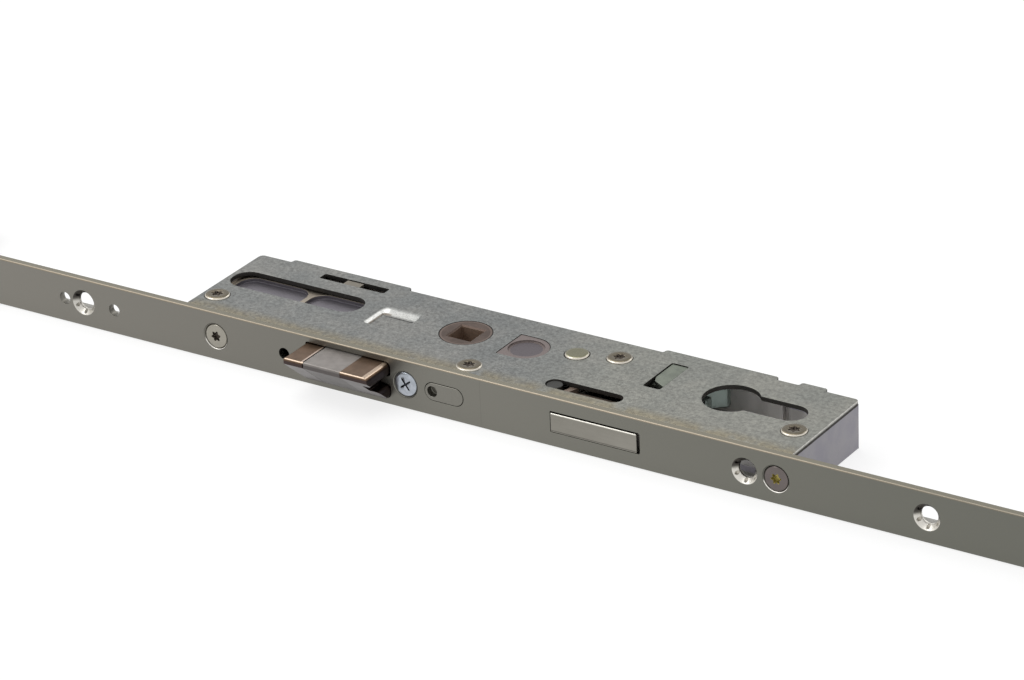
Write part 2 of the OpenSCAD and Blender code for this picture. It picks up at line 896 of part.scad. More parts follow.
// Least gap of a coil to itself, from each ring's points to those of the curl beside it
function least_gap(points, sides) = min([
    for (i = [0:len(points) - 5 * sides - 1], j = [i + 5 * sides:min(i + 11 * sides, len(points) - 1)])
        norm(points[i] - points[j])]);

// Unbroken wire of a compression spring along +Z, six sided, eight rings a turn
module coil(radius, wire, turns, length) {
    sides = 6;
    rings = turns * 8;
    rise = (length - 2 * wire) / rings;
    points = [for (i = [0:rings], k = [0:sides - 1])
        let (a = 45 * i, b = 360 * k / sides, reach = radius + wire * cos(b))
            [reach * cos(a), reach * sin(a), wire + rise * i + wire * sin(b)]];
    echo(coil_least_gap = least_gap(points, sides));
    sleeve = [for (i = [0:rings - 1], k = [0:sides - 1])
        let (n = (k + 1) % sides, p = i * sides, q = p + sides)
            each [[p + k, p + n, q + n], [p + k, q + n, q + k]]];
    caps = [for (k = [1:sides - 2])
        each [[0, k + 1, k], [rings * sides, rings * sides + k, rings * sides + k + 1]]];
    polyhedron(points, concat(sleeve, caps));
}

module latch_spring() {
    color([0.6, 0.6, 0.6])
        translate([latch_spring_x, latch_block_end + 0.1, 0])
            rotate([-90, 0, 0])
                coil(2.6, 0.4, 7, latch_stop_y - latch_block_end - 0.2);
}

module return_spring() {
    color([0.55, 0.55, 0.55])
        translate([tab_x[1] + 0.1, return_spring_y, return_spring_z])
            rotate([0, 90, 0])
                coil(2.2, 0.4, 12, return_stop_x - tab_x[1] - 0.2);
}

module spring_carriage() {
    nose_x = -carriage_r * sin(press / 2);
    color([0.66, 0.64, 0.58])
        difference() {
            union() {
                block([tab_x[0] - 4, nose_x + carriage_nose + 3.5], carriage_y, carriage_z);
                block(tab_x, [rear_slot_y[0] + 0.1, rear_slot_y[1] - 0.4], [carriage_z[0], half - 0.25]);
            }
            block([nose_x - carriage_nose - 0.25, nose_x + carriage_nose + 0.25],
                [carriage_y[0] - cut, carriage_r + carriage_nose + 0.2],
                [carriage_z[0] - cut, carriage_z[1] + cut]);
        }
}

// Deadbolt with a notch that the key's cam moves it by
module deadbolt() {
    front = face_front - 0.15;
    color([0.56, 0.55, 0.52])
        plate(bolt_z0, bolt_z1)
            difference() {
                union() {
                    span([bolt_x0, bolt_x1], [front, 1]);
                    span([56, bolt_x1], [0, inner_rear - 0.3]);
                    span([bolt_x1 - 1, centres - 10.5], [3, 6.5]);
                    difference() {
                        span([bolt_x1 - 1, tail_x], [6, inner_rear - 0.3]);
                        translate([centres, 0])
                            circle(cam_r + 0.2);
                    }
                }
                obround([60, 68], 8.2, 2.2);
            }
}

// Plate under the cover, with a raised pad that stands in the cover's slot
module locking_slide() {
    x = [lock_slot[0][0] + 0.3, lock_slot[0][1] - 0.3];
    foot = lock_slot[1][0] + 0.2 + lock_travel;
    color([0.56, 0.58, 0.52]) {
        plate(link_z0, roof - 0.4)
            difference() {
                union() {
                    rounded([62.5, 73.5], [0, 13], 0.8);
                    span([73, 80.5], [8, 12]);
                }
                translate([63.2, 10])
                    circle(0.6);
            }
        plate(link_z0, half - 0.3)
            polygon([[x[0], lock_slot[1][1] - 0.3], [x[1], lock_slot[1][1] - 0.3], [x[1], foot],
                [x[0] + 1, foot + 2.4], [x[0], foot + 4.7]]);
    }
}

module hook_case_outline(inset) {
    ends = [inset - hook_case_a, hook_case_b - inset];
    rounded(ends, [cover_front, case_rear], 2.2);
    span(ends, [cover_front, cover_front + 4]);
}

module hook_body() {
    color([0.56, 0.55, 0.57])
        difference() {
            union() {
                difference() {
                    plate(-half, roof)
                        hook_case_outline(0.2);
                    block([wall - hook_case_a, hook_case_b - wall], [face_back - 1, inner_rear],
                        [floor_top, roof + 1]);
                }
                for (p = hook_posts)
                    round_post(p, hook_post_r, floor_top - cut, roof);
                for (x = hook_face_screws)
                    block([x - face_boss_w / 2, x + face_boss_w / 2],
                        [behind_rods, behind_rods + face_boss], [floor_top - cut, boss_top]);
            }
            for (p = hook_posts)
                round_post(p, cover_screw_r + screw_gap, roof - 9, roof + cut);
            round_post([0, hook_y], hook_pin_r + 0.02, -half - cut, floor_top + cut);
            for (x = hook_face_screws)
                drill(x, face_back, behind_rods + face_boss - 1, face_screw_r + screw_gap);
            for (x = [-hook_case_a - cut, hook_case_b - wall - cut])
                block([x, x + wall + 2 * cut], [face_back - 1, behind_rods], [floor_top, roof + cut]);
        }
}

module hook_cover() {
    color([0.57, 0.58, 0.57])
        difference() {
            plate(roof, half)
                difference() {
                    hook_case_outline(0);
                    translate([0, hook_y])
                        circle(hook_pin_r + 0.02);
                    obround([-stroke / 2 - stud_r - slot_gap, stroke / 2 + stud_r + slot_gap],
                        hook_stud_y, stud_r + slot_gap);
                    for (p = hook_posts)
                        translate(p)
                            circle(cover_screw_r + screw_gap);
                }
            seats(hook_posts, cover_head_r);
        }
}

// Swing hook, drawn thrown and turned back into its case
module hook() {
    color([0.58, 0.57, 0.53])
        translate([0, hook_y, 0])
            rotate(hook_rest_turn)
                plate(-hook_t / 2, hook_t / 2)
                    difference() {
                        union() {
                            circle(7);
                            rotate(90 - hook_half_turn)
                                difference() {
                                    obround([-5, 19.5], 0, 5);
                                    obround([11.5 - stud_r - 0.6, 24], 0, stud_r + 0.75);
                                }
                            intersection() {
                                circle(hook_reach);
                                union() {
                                    span([-hook_w / 2, hook_w / 2], [-hook_reach, 0]);
                                    rounded([-hook_w / 2, 12.5], [-hook_reach - 2, 7 - hook_reach], 1.5);
                                }
                            }
                        }
                        circle(hook_pin_r + run_fit);
                    }
}

module hook_pin() {
    color([0.5, 0.5, 0.49])
        round_post([0, hook_y], hook_pin_r, 0.05 - half, half);
}

// Slide that the rod's stroke comes in by, with the stud that turns the hook
module hook_slide() {
    color([0.62, 0.61, 0.56]) {
        plate(link_z0, link_z1) {
            span(hook_teeth, [rod_front, rod_back + 1]);
            span([hook_teeth[0], hook_teeth[1] + 1], [rod_back, hook_stud_y + 3]);
            span([hook_teeth[0], -stroke / 2 - 4], [hook_stud_y - 3, hook_stud_y + 3]);
            translate([-stroke / 2 - 4, hook_stud_y])
                span([0, 7.4], [-3, 3]);
        }
        round_post([-stroke / 2, hook_stud_y], stud_r, -hook_t / 2, half - 0.3);
    }
}

module hook_screws() {
    color([0.62, 0.6, 0.55])
        for (p = hook_posts)
            cover_screw(p);
}

module upper() {
    translate([-hook_up, 0, 0])
        children();
}

module lower() {
    translate([hook_down, 0, 0])
        children();
}

faceplate();
case_body();
case_cover();
cover_screws();
cover_rivet();
faceplate_screws();
latch_reversing_screw();
locating_plug();
drive_follower();
latch_follower();
follower_link();
drive_lever();
drive_slider();
slider_pin();
transfer_bar();
transfer_pin();
upper_rod();
lower_rod();
latch_head();
latch_insert();
latch_spring();
spring_carriage();
return_spring();
deadbolt();
locking_slide();
upper() hook_body();  // upper_hook_body
upper() hook_cover();  // upper_hook_cover
upper() hook();  // upper_hook
upper() hook_pin();  // upper_hook_pin
upper() hook_slide();  // upper_hook_slide
upper() hook_screws();  // upper_hook_screws
lower() hook_body();  // lower_hook_body
lower() hook_cover();  // lower_hook_cover
lower() hook();  // lower_hook
lower() hook_pin();  // lower_hook_pin
lower() hook_slide();  // lower_hook_slide
lower() hook_screws();  // lower_hook_screws
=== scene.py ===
import json
import math
import bmesh
import bpy
from mathutils import Matrix, Vector

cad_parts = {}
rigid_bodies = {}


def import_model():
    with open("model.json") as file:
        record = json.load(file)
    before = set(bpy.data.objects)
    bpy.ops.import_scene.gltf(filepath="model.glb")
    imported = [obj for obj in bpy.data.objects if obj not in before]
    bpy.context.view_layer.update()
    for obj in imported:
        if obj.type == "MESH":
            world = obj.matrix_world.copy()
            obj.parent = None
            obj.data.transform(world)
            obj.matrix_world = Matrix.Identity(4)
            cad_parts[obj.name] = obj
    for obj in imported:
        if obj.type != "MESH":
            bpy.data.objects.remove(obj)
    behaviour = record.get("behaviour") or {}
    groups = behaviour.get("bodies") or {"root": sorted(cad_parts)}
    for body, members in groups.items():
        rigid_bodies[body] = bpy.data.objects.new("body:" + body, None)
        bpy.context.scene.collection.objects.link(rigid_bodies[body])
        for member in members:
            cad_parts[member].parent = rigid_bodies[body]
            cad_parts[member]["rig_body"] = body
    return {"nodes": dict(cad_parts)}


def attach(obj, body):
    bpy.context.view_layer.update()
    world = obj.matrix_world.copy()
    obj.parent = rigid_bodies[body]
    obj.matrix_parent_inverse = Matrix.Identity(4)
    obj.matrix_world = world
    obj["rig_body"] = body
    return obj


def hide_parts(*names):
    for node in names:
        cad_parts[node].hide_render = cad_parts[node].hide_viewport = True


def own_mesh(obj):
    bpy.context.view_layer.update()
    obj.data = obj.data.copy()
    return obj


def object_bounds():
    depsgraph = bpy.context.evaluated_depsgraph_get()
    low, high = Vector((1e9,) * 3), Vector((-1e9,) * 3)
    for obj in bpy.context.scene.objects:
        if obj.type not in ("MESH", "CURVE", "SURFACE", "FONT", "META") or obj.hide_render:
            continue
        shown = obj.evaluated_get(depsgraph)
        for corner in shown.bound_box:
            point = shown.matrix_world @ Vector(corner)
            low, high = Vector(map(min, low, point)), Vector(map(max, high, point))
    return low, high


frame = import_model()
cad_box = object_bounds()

# Photographer's set: a long lens above the faceplate, white paper on the floor, a wide softbox
# overhead, a small one at the front left for the bright arrises, and one behind. All the sizes
# below are in millimetres and become metres by the factor mm.
mm = 0.001

photo_width = 1024
focal_length_in_pixels = 4686.0
camera = bpy.data.objects.new("camera", bpy.data.cameras.new("camera"))
bpy.context.scene.collection.objects.link(camera)
camera.data.sensor_width = 36
camera.data.lens = focal_length_in_pixels / photo_width * camera.data.sensor_width
camera.data.clip_start, camera.data.clip_end = 0.05, 60
across = Vector((0.84154, 0.53891, -0.03714))
upward = Vector((-0.20681, 0.38495, 0.89947))
backward = Vector((0.49903, -0.74926, 0.43540))
camera.matrix_world = Matrix.Translation((0.7126, -1.0452, 0.6165)) @ Matrix(
    (across, upward, backward)).transposed().to_4x4()
bpy.context.scene.camera = camera
bpy.context.scene.view_settings.view_transform = "Standard"


class Tone:
    """A shader socket that adds, multiplies and raises like a number. | is the larger, & the smaller."""

    def __init__(self, finish, socket):
        self.finish, self.socket = finish, socket

    def work(self, operation, *terms):
        return self.finish.node("ShaderNodeMath", {"operation": operation}, dict(enumerate(terms)))

    def __add__(self, other):
        return self.work("ADD", self, other)

    def __radd__(self, other):
        return self.work("ADD", other, self)

    def __sub__(self, other):
        return self.work("SUBTRACT", self, other)

    def __rsub__(self, other):
        return self.work("SUBTRACT", other, self)

    def __mul__(self, other):
        return self.work("MULTIPLY", self, other)

    def __rmul__(self, other):
        return self.work("MULTIPLY", other, self)

    def __pow__(self, other):
        return self.work("POWER", self, other)

    def __abs__(self):
        return self.work("ABSOLUTE", self)

    def __or__(self, other):
        return self.work("MAXIMUM", self, other)

    def __and__(self, other):
        return self.work("MINIMUM", self, other)


class Finish:
    """A material whose nodes are added one by one, on Object coordinates."""

    def __init__(self, name, tree=None):
        self.material = None
        if tree is None:
            self.material = bpy.data.materials.new(name)
            self.material.use_nodes = True
            tree = self.material.node_tree
        self.tree = tree
        self.tree.nodes.clear()

    def node(self, kind, settings=None, inputs=None, output=0):
        """Adds a node, with its settings first, then the values or links of its sockets."""
        made = self.tree.nodes.new(kind)
        for key, value in (settings or {}).items():
            setattr(made, key, value)
        for key, value in (inputs or {}).items():
            if isinstance(value, Tone):
                self.tree.links.new(value.socket, made.inputs[key])
            else:
                made.inputs[key].default_value = value
        return Tone(self, made.outputs[output])

    def along(self, axis):
        """Place along an axis, in millimetres."""
        spot = self.node("ShaderNodeTexCoord", output="Object")
        return self.node("ShaderNodeSeparateXYZ", {}, {0: spot}, output=axis) * 1000

    def away(self, x, y, axes=(0, 1)):
        """Distance from a line through (x, y), in millimetres."""
        return ((self.along(axes[0]) - x) ** 2 + (self.along(axes[1]) - y) ** 2) ** 0.5

    def cloud(self, size, detail=4.0, rough=0.55, stretch=(1, 1, 1), turn=(0, 0, 0), seed=0.0):
        """Soft noise with blotches of that size in millimetres."""
        spot = self.node("ShaderNodeTexCoord", output="Object")
        placed = self.node("ShaderNodeMapping", {},
                           {"Vector": spot, "Scale": stretch, "Rotation": turn})
        return self.node("ShaderNodeTexNoise", {"noise_dimensions": "4D"},
                         {"Vector": placed, "W": seed, "Scale": 1 / (size * mm), "Detail": detail,
                          "Roughness": rough}, output="Fac")

    def step(self, value, low, high):
        """Smooth step from 0 at low to 1 at high, which may be the smaller of the two."""
        if low > high:
            return 1 - self.step(value, high, low)
        return self.node("ShaderNodeMapRange", {"interpolation_type": "SMOOTHSTEP"},
                         {"Value": value, "From Min": low, "From Max": high})

    def band(self, value, low, high, soft):
        """1 from low to high, and 0 beyond a soft margin on both sides."""
        return self.step(value, low - soft, low) * self.step(value, high + soft, high)

    def blend(self, mask, one, other):
        """One colour where the mask is 0, the other where it is 1."""
        return self.node("ShaderNodeMix", {"data_type": "RGBA"}, {0: mask, 6: one, 7: other}, output=2)

    def tint(self, colour, amount):
        """Multiplies a colour by a grey that changes over the surface."""
        grey = self.node("ShaderNodeCombineXYZ", {}, {0: amount, 1: amount, 2: amount})
        return self.node("ShaderNodeMix", {"data_type": "RGBA", "blend_type": "MULTIPLY"},
                         {0: 1.0, 6: colour, 7: grey}, output=2)

    def surface(self, colour, rough, metallic, height, depth):
        """The finished material, with bumps of that depth in millimetres."""
        bump = self.node("ShaderNodeBump", {}, {"Height": height, "Distance": depth * mm, "Strength": 1.0})
        inputs = {"Base Color": colour, "Roughness": rough, "Metallic": metallic, "Normal": bump}
        self.end(self.node("ShaderNodeBsdfPrincipled", {}, inputs))
        return self.material

    def end(self, shader, kind="ShaderNodeOutputMaterial"):
        last = self.tree.nodes.new(kind)
        self.tree.links.new(shader.socket, last.inputs["Surface"])


def seen(finish):
    """1 for what the camera, metal and glass see, 0 for light that falls on the lock."""
    rays = [finish.node("ShaderNodeLightPath", output=name)
            for name in ("Is Camera Ray", "Is Glossy Ray", "Is Transmission Ray")]
    return rays[0] | rays[1] | rays[2]


world = bpy.data.worlds.new("white room")
bpy.context.scene.world = world
world.use_nodes = True
room = Finish("white room", world.node_tree)
lit = room.node("ShaderNodeBackground", {}, {"Color": (1, 1, 1, 1), "Strength": 0.3})
shown = room.node("ShaderNodeBackground", {}, {"Color": (1, 1, 1, 1), "Strength": 1.0})
room.end(room.node("ShaderNodeMixShader", {}, {0: seen(room), 1: lit, 2: shown}),
         "ShaderNodeOutputWorld")

paper = Finish("white_paper")
floor_size, floor_gap = 12, 0.2
shade = paper.node("ShaderNodeBsdfDiffuse", {}, {"Color": (0.27, 0.27, 0.27, 1)})
glow = paper.node("ShaderNodeEmission", {}, {"Color": (1, 1, 1, 1), "Strength": 0.8})
bright = paper.node("ShaderNodeAddShader", {}, {0: shade, 1: glow})
plain = paper.node("ShaderNodeBsdfDiffuse", {}, {"Color": (0.8, 0.8, 0.8, 1)})
paper.end(paper.node("ShaderNodeMixShader", {}, {0: seen(paper), 1: plain, 2: bright}))
sweep = bmesh.new()
bmesh.ops.create_grid(sweep, x_segments=2, y_segments=2, size=floor_size,
                      matrix=Matrix.Translation((0, 0, cad_box[0].z - floor_gap * mm)))
floor = bpy.data.objects.new("paper_sweep", bpy.data.meshes.new("paper_sweep"))
sweep.to_mesh(floor.data)
sweep.free()
floor.data.materials.append(paper.material)
bpy.context.scene.collection.objects.link(floor)

for name, spot, lamp_size, watts in (("overhead_softbox", (-0.6, 0.15, 1.3), (1.3, 1.9), 15.0),
                                     ("key_softbox", (-0.8, -0.7, 1.2), (0.7, 0.7), 4.6),
                                     ("rear_softbox", (0.4, 1.3, 1.1), (0.6, 0.6), 2.8)):
    lamp = bpy.data.objects.new(name, bpy.data.lights.new(name, "AREA"))
    lamp.data.shape = "RECTANGLE"
    lamp.data.size, lamp.data.size_y = lamp_size
    lamp.data.energy = watts
    lamp.location = spot
    lamp.rotation_euler = (-Vector(spot)).to_track_quat("-Z", "Y").to_euler()
    bpy.context.scene.collection.objects.link(lamp)


# Centre case: a zinc die casting, open at the top, with posts for the cover screws. It keeps its
# as-cast skin, and its edges are soft where the die parts.
case_top, cover_low = 7.8, 6.3
weld = 0.002 * mm


def fitted(name, bm, nodes, materials, edge, segments=2, angle=32):
    """Hangs a finished shape on the body of its CAD nodes, in their place, with broken edges."""
    mesh = bpy.data.meshes.new(name)
    bm.to_mesh(mesh)
    bm.free()
    mesh.shade_smooth()
    for material in materials:
        mesh.materials.append(material)
    piece = bpy.data.objects.new(name, mesh)
    bpy.context.scene.collection.objects.link(piece)
    broken = piece.modifiers.new("broken edges", "BEVEL")
    broken.width = edge * mm
    broken.segments = segments
    broken.limit_method = "ANGLE"
    broken.angle_limit = math.radians(angle)
    broken.use_clamp_overlap = False
    flat = piece.modifiers.new("flat faces", "WEIGHTED_NORMAL")
    flat.keep_sharp = False
    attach(piece, frame["nodes"][nodes[0]]["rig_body"])
    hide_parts(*nodes)
    return piece


def merged(node, most=400):
    """A copy of a CAD solid, its triangles joined into whole faces of at most that many corners."""
    bm = bmesh.new()
    bm.from_mesh(frame["nodes"][node].data)
    bmesh.ops.remove_doubles(bm, verts=bm.verts[:], dist=weld)
    bmesh.ops.dissolve_limit(bm, angle_limit=math.radians(0.3), verts=bm.verts[:], edges=bm.edges[:])
    bmesh.ops.triangulate(bm, faces=[f for f in bm.faces if len(f.verts) > most], quad_method="BEAUTY",
                          ngon_method="BEAUTY")
    return bm


def colour(code):
    """Linear colour of a six-figure hexadecimal shade."""
    parts = [int(code[i:i + 2], 16) / 255 for i in (0, 2, 4)]
    return tuple(p / 12.92 if p <= 0.04045 else ((p + 0.055) / 1.055) ** 2.4 for p in parts) + (1.0,)


def cast_marks(f, seed):
    """Flow, grain and pits of a zinc casting, and the roughness and relief that they give it."""
    flow = f.cloud(9, 4, 0.6, (1, 1.6, 1), seed=seed)
    grain = f.cloud(0.35, 4, 0.6, seed=seed + 1)
    pits = f.step(f.cloud(0.5, 3, 0.6, seed=seed + 2), 0.66, 0.78)
    return flow, grain, pits, 0.42 + 0.12 * flow + 0.08 * grain, grain * 0.6 + flow * 0.3 - pits * 0.5


def case_skin():
    """Grey casting, painted darker below the cover's level as painted shade, with a darker boss and dish,
    and painted lighter and less metallic, as painted light, where it shows through the openings round the
    cylinder and under the pin slot.
    """
    f = Finish("case_casting")
    flow, grain, pits, rough, relief = cast_marks(f, 3.0)
    x, y, z = f.along(0), f.along(1), f.along(2)
    # Below the cover's level the casting is painted darker: painted shade.
    painted_shade_inside = f.step(z, 5.4, 5.1) * f.step(x, 123.6, 123.2)
    shelf = f.band(z, 5.4, 6.1, 0.1) * f.step(x, -36, -37)
    boss = f.band(x, 14.6, 29.0, 0.3) * f.band(y, -7.6, 7.6, 0.3) * f.step(z, 5.4, 5.6)
    dish = boss * f.step(f.away(21.5, 0), 5.0, 4.8)
    # The walls round the cylinder and behind it, seen through the cover's openings, are painted pale and
    # almost without metal: painted light where shade falls.
    painted_light_well = f.band(x, 76, 118, 1.0) * f.band(y, -11, 11, 0.5) * f.step(z, 6.2, 6.0)
    rear = f.band(x, 76, 106, 1.0) * f.band(y, 11, 16, 0.3) * f.step(z, 6.2, 6.0)
    # The case floor under the pin slot is painted lighter, browner and less metallic: painted light in the
    # cover's shade.
    painted_light_pit = f.band(x, 36, 68, 1.0) * f.step(y, -12.0, -12.6) * f.step(z, 5.4, 5.0)
    cast = f.blend(f.step(flow, 0.35, 0.65), colour("8b8990"), colour("949296"))
    for place, shade in ((painted_shade_inside, "757277"), (shelf, "8f877c"), (boss, "6f6664"), (dish, "5a5558"),
                         (painted_light_well, "b0adaa"), (rear, "f2efec"), (painted_light_pit, "8f7f70")):
        cast = f.blend(place, cast, colour(shade))
    cast = f.tint(cast, 0.93 + 0.14 * grain - 0.12 * pits)
    return f.surface(cast, rough, 1 - 0.9 * (painted_light_well | painted_light_pit | rear), relief, 0.012)


case_zinc = case_skin()
fitted("case_casting", merged("case_body", most=60), ["case_body"], [case_zinc],
       edge=0.12)


# Followers: two sintered steel hubs, one above the other, share the 8 mm spindle. They are
# steam-treated brown, with a broken edge round the square socket.
def sintered_steel():
    f = Finish("sintered_steel")
    spots = f.cloud(0.28, 5, 0.65, seed=1.0)
    broad = f.cloud(4, 3, 0.5, seed=2.0)
    # A ring near the hub's rim is painted lighter: painted highlight.
    wear_and_highlight = f.band(f.away(0, 0), 7.45, 7.8, 0.12) * f.step(f.along(2), 7.4, 7.6)
    # The hub's outer edge, in the gap to the cover, is painted near black: painted shadow.
    painted_gap_shade = f.step(f.away(0, 0), 7.93, 8.03) * f.step(f.along(2), 7.2, 7.4)
    shade = f.blend(f.step(broad, 0.35, 0.65), colour("4a3f39"), colour("564a44"))
    shade = f.blend(wear_and_highlight * 0.6, shade, colour("6f625b"))
    shade = f.blend(painted_gap_shade, shade, colour("1c1816"))
    shade = f.tint(shade, 0.9 + 0.2 * spots)
    square = f.step(abs(f.along(0)) | abs(f.along(1)), 4.3, 4.15) * f.step(f.along(2), 7.35, 7.15)
    shade = f.blend(square, shade, colour("8f7a6a"))
    return f.surface(shade, 0.38 + 0.14 * broad + 0.1 * spots, 1 - 0.6 * square, spots, 0.012)


hub_steel = sintered_steel()
half_square, hair = 4.05, 0.01 * mm
for node in ("drive_follower", "latch_follower"):
    hub = merged(node)
    if node == "drive_follower":
        top = max(v.co.z for v in hub.verts)
        mouth = [e for e in hub.edges if all(
            abs(v.co.z - top) < hair and max(abs(v.co.x), abs(v.co.y)) < (half_square + 0.02) * mm
            for v in e.verts)]
        bmesh.ops.bevel(hub, geom=mouth, offset=0.45 * mm, affect="EDGES", segments=1, profile=0.5,
                        material=-1)
    fitted(node + "_hub", hub, [node], [hub_steel], edge=0.05)


# Drive train: punched, zinc-plated steel strip. The link pulls the lever, the lever swings on the
# case's post and carries the drive slider along, and the transfer bar takes the stroke upwards.
def zinc_strip(name, shade, other, seed):
    f = Finish(name)
    rolled = f.cloud(0.25, 4, 0.6, (0.05, 1, 1), seed=seed)
    bloom = f.cloud(3.5, 4, 0.55, seed=seed + 1)
    scuffs = f.step(f.cloud(0.8, 5, 0.7, (0.15, 1, 1), seed=seed + 2), 0.62, 0.72)
    metal = f.blend(f.step(bloom, 0.35, 0.65), colour(shade), colour(other))
    # Where the drive slider shows under the pin slot it is painted lighter, browner and almost without
    # metal: painted light in the cover's shade.
    painted_light_under_slot = f.band(f.along(0), 38, 66, 1.0) * f.step(f.along(1), -12.5, -13.2)
    metal = f.blend(painted_light_under_slot, metal, colour("75665a"))
    metal = f.tint(metal, 0.88 + 0.24 * rolled - 0.12 * scuffs)
    return f.surface(metal, 0.36 + 0.14 * bloom + 0.1 * rolled, 1 - 0.8 * painted_light_under_slot, rolled, 0.004)


strip_zinc = zinc_strip("strip_zinc", "8c8a85", "9b9a96", 5.0)
for node in ("follower_link", "drive_lever", "drive_slider", "transfer_bar", "upper_rod", "lower_rod"):
    fitted(node + "_strip", merged(node), [node], [strip_zinc], edge=0.1)


# Pins: drawn steel, turned to length and chamfered. One is pressed into the slider and shows in the
# cover's slot, the other ties the slider to the transfer bar.
def drawn_steel(name, shade, seed):
    f = Finish(name)
    turned = f.cloud(0.3, 4, 0.6, (1, 1, 0.1), seed=seed)
    stain = f.cloud(1.4, 3, 0.5, seed=seed + 1)
    metal = f.tint(colour(shade), 0.88 + 0.14 * turned + 0.12 * stain)
    return f.surface(metal, 0.34 + 0.15 * stain, 1.0, turned, 0.004)


pin_steel = drawn_steel("pin_steel", "383836", 6.0)
pin_edge = 0.25
for node in ("slider_pin", "transfer_pin"):
    fitted(node + "_turned", merged(node), [node], [pin_steel], edge=pin_edge, segments=3)


# Latch: a zinc casting plated in brown nickel. Its nose is split by a grey moulded insert, clipped
# over the core, that quietens it against the frame.
nose_top, nose_front, nose_right = 5.8, -37.0, -12.6


def brown_nickel():
    f = Finish("brown_nickel")
    x, y, z = f.along(0), f.along(1), f.along(2)
    broad = f.cloud(5, 3, 0.5, seed=1.5)
    fine = f.cloud(0.3, 4, 0.6, seed=2.5)
    brushed = f.cloud(0.35, 4, 0.65, (1, 0.06, 1), (0, 0, 0.5), seed=5.5)
    wear_and_highlight = f.step(y, -30, -37) * f.step(f.cloud(1.2, 4, 0.6, seed=4.5), 0.4, 0.6)
    # Below the top the nose is painted darker: painted shade.
    below = f.step(z, 5.3, 4.8)
    # A pale stripe on the top arris beside the gap to the insert: painted highlight.
    painted_gap_highlight = f.band(x, -34.9, -34.45, 0.1) * f.step(z, 5.5, 5.6)
    # The gap to the insert is painted near black: painted shadow.
    painted_gap_shade = f.band(x, -34.3, -33.8, 0.05) * f.step(z, 4.0, 4.2)
    # The top front and right arrises are painted bright: painted highlight.
    painted_highlight_arris = f.step(z, 5.4, 5.55) * (f.step(y, -36.55, -36.7) | f.step(x, -13.1, -12.95))
    metal = f.blend(f.step(broad, 0.35, 0.65), colour("574434"), colour("645040"))
    for place, shade in ((wear_and_highlight * 0.35, "725e4c"), (below, "443a38"), (painted_gap_highlight, "b8a69a"), (painted_gap_shade, "120e0c"),
                         (painted_highlight_arris, "ac9a89")):
        metal = f.blend(place, metal, colour(shade))
    metal = f.tint(metal, 0.84 + 0.1 * fine + 0.24 * brushed)
    return f.surface(metal, 0.24 + 0.12 * broad + 0.06 * fine, 1.0, fine * 0.5 + brushed * 0.5, 0.004)


def moulded_grey():
    f = Finish("moulded_grey")
    bloom = f.cloud(3, 3, 0.5, seed=7.5)
    skin = f.cloud(0.12, 3, 0.6, seed=8.5)
    shade = f.blend(f.step(bloom, 0.35, 0.65), colour("7a7571"), colour("847f7b"))
    # Below the top the insert is painted darker: painted shade.
    shade = f.blend(f.step(f.along(2), 5.3, 4.9), shade, colour("5e5957"))
    shade = f.tint(shade, 0.96 + 0.06 * skin)
    return f.surface(shade, 0.4 + 0.1 * bloom, 0.55, skin, 0.008)


latch_nickel = brown_nickel()
nose, insert = merged("latch_head"), merged("latch_insert")
near = 0.1
for part in (nose, insert):
    worn = [e for e in part.edges if e.calc_face_angle(0) > 1
            and all(v.co.z > (nose_top - near) * mm for v in e.verts)
            and (all(v.co.y < (nose_front + near) * mm for v in e.verts)
                 or all(v.co.x > (nose_right - near) * mm for v in e.verts))]
    bmesh.ops.bevel(part, geom=worn, offset=0.45 * mm, affect="EDGES", segments=4, profile=0.5,
                    material=-1)
fitted("latch_nose", nose, ["latch_head"], [latch_nickel], edge=0.1)
fitted("latch_quiet_insert", insert, ["latch_insert"], [moulded_grey()], edge=0.15)


# Springs: cold-coiled wire with closed end turns. One stands behind the latch, the other lies in
# the channel along the rear wall and returns the carriage.
wire = 0.4


def placed(bm, angle, axis, place):
    """Turns a shape about an axis through the origin, in degrees, then moves it to its place."""
    bmesh.ops.rotate(bm, verts=bm.verts[:], cent=(0, 0, 0),
                     matrix=Matrix.Rotation(math.radians(angle), 3, axis))
    bmesh.ops.translate(bm, verts=bm.verts[:], vec=Vector(place) * mm)


def coiled(radius, turns, length):
    """Compression spring along Z, in millimetres, whose end turns lie flat."""
    bm = bmesh.new()
    closed_rise = 2.15 * wire
    open_rise = (length - 2 * wire - 2 * closed_rise) / (turns - 2)
    bmesh.ops.create_circle(bm, segments=12, radius=wire * mm, matrix=Matrix.Translation(
        (radius * mm, 0, wire * mm)) @ Matrix.Rotation(math.pi / 2, 4, "X"))
    front = bm.verts[:] + bm.edges[:]
    steps = 24
    for share, rise in ((1, closed_rise), (turns - 2, open_rise), (1, closed_rise)):
        made = bmesh.ops.spin(bm, geom=front, cent=(0, 0, 0), axis=(0, 0, 1),
                              dvec=(0, 0, rise * mm / steps), angle=2 * math.pi * share,
                              steps=steps * share, use_merge=False, use_duplicate=False)
        front = made["geom_last"]
    bmesh.ops.holes_fill(bm, edges=[e for e in bm.edges if len(e.link_faces) == 1], sides=0)
    bmesh.ops.recalc_face_normals(bm, faces=bm.faces[:])
    return bm


def spring_steel():
    f = Finish("spring_steel")
    drawn = f.cloud(0.4, 4, 0.6, seed=3.1)
    oil = f.cloud(2.5, 3, 0.5, seed=4.1)
    metal = f.tint(colour("77757a"), 0.85 + 0.15 * drawn + 0.15 * oil)
    return f.surface(metal, 0.28 + 0.15 * oil, 1.0, drawn, 0.003)


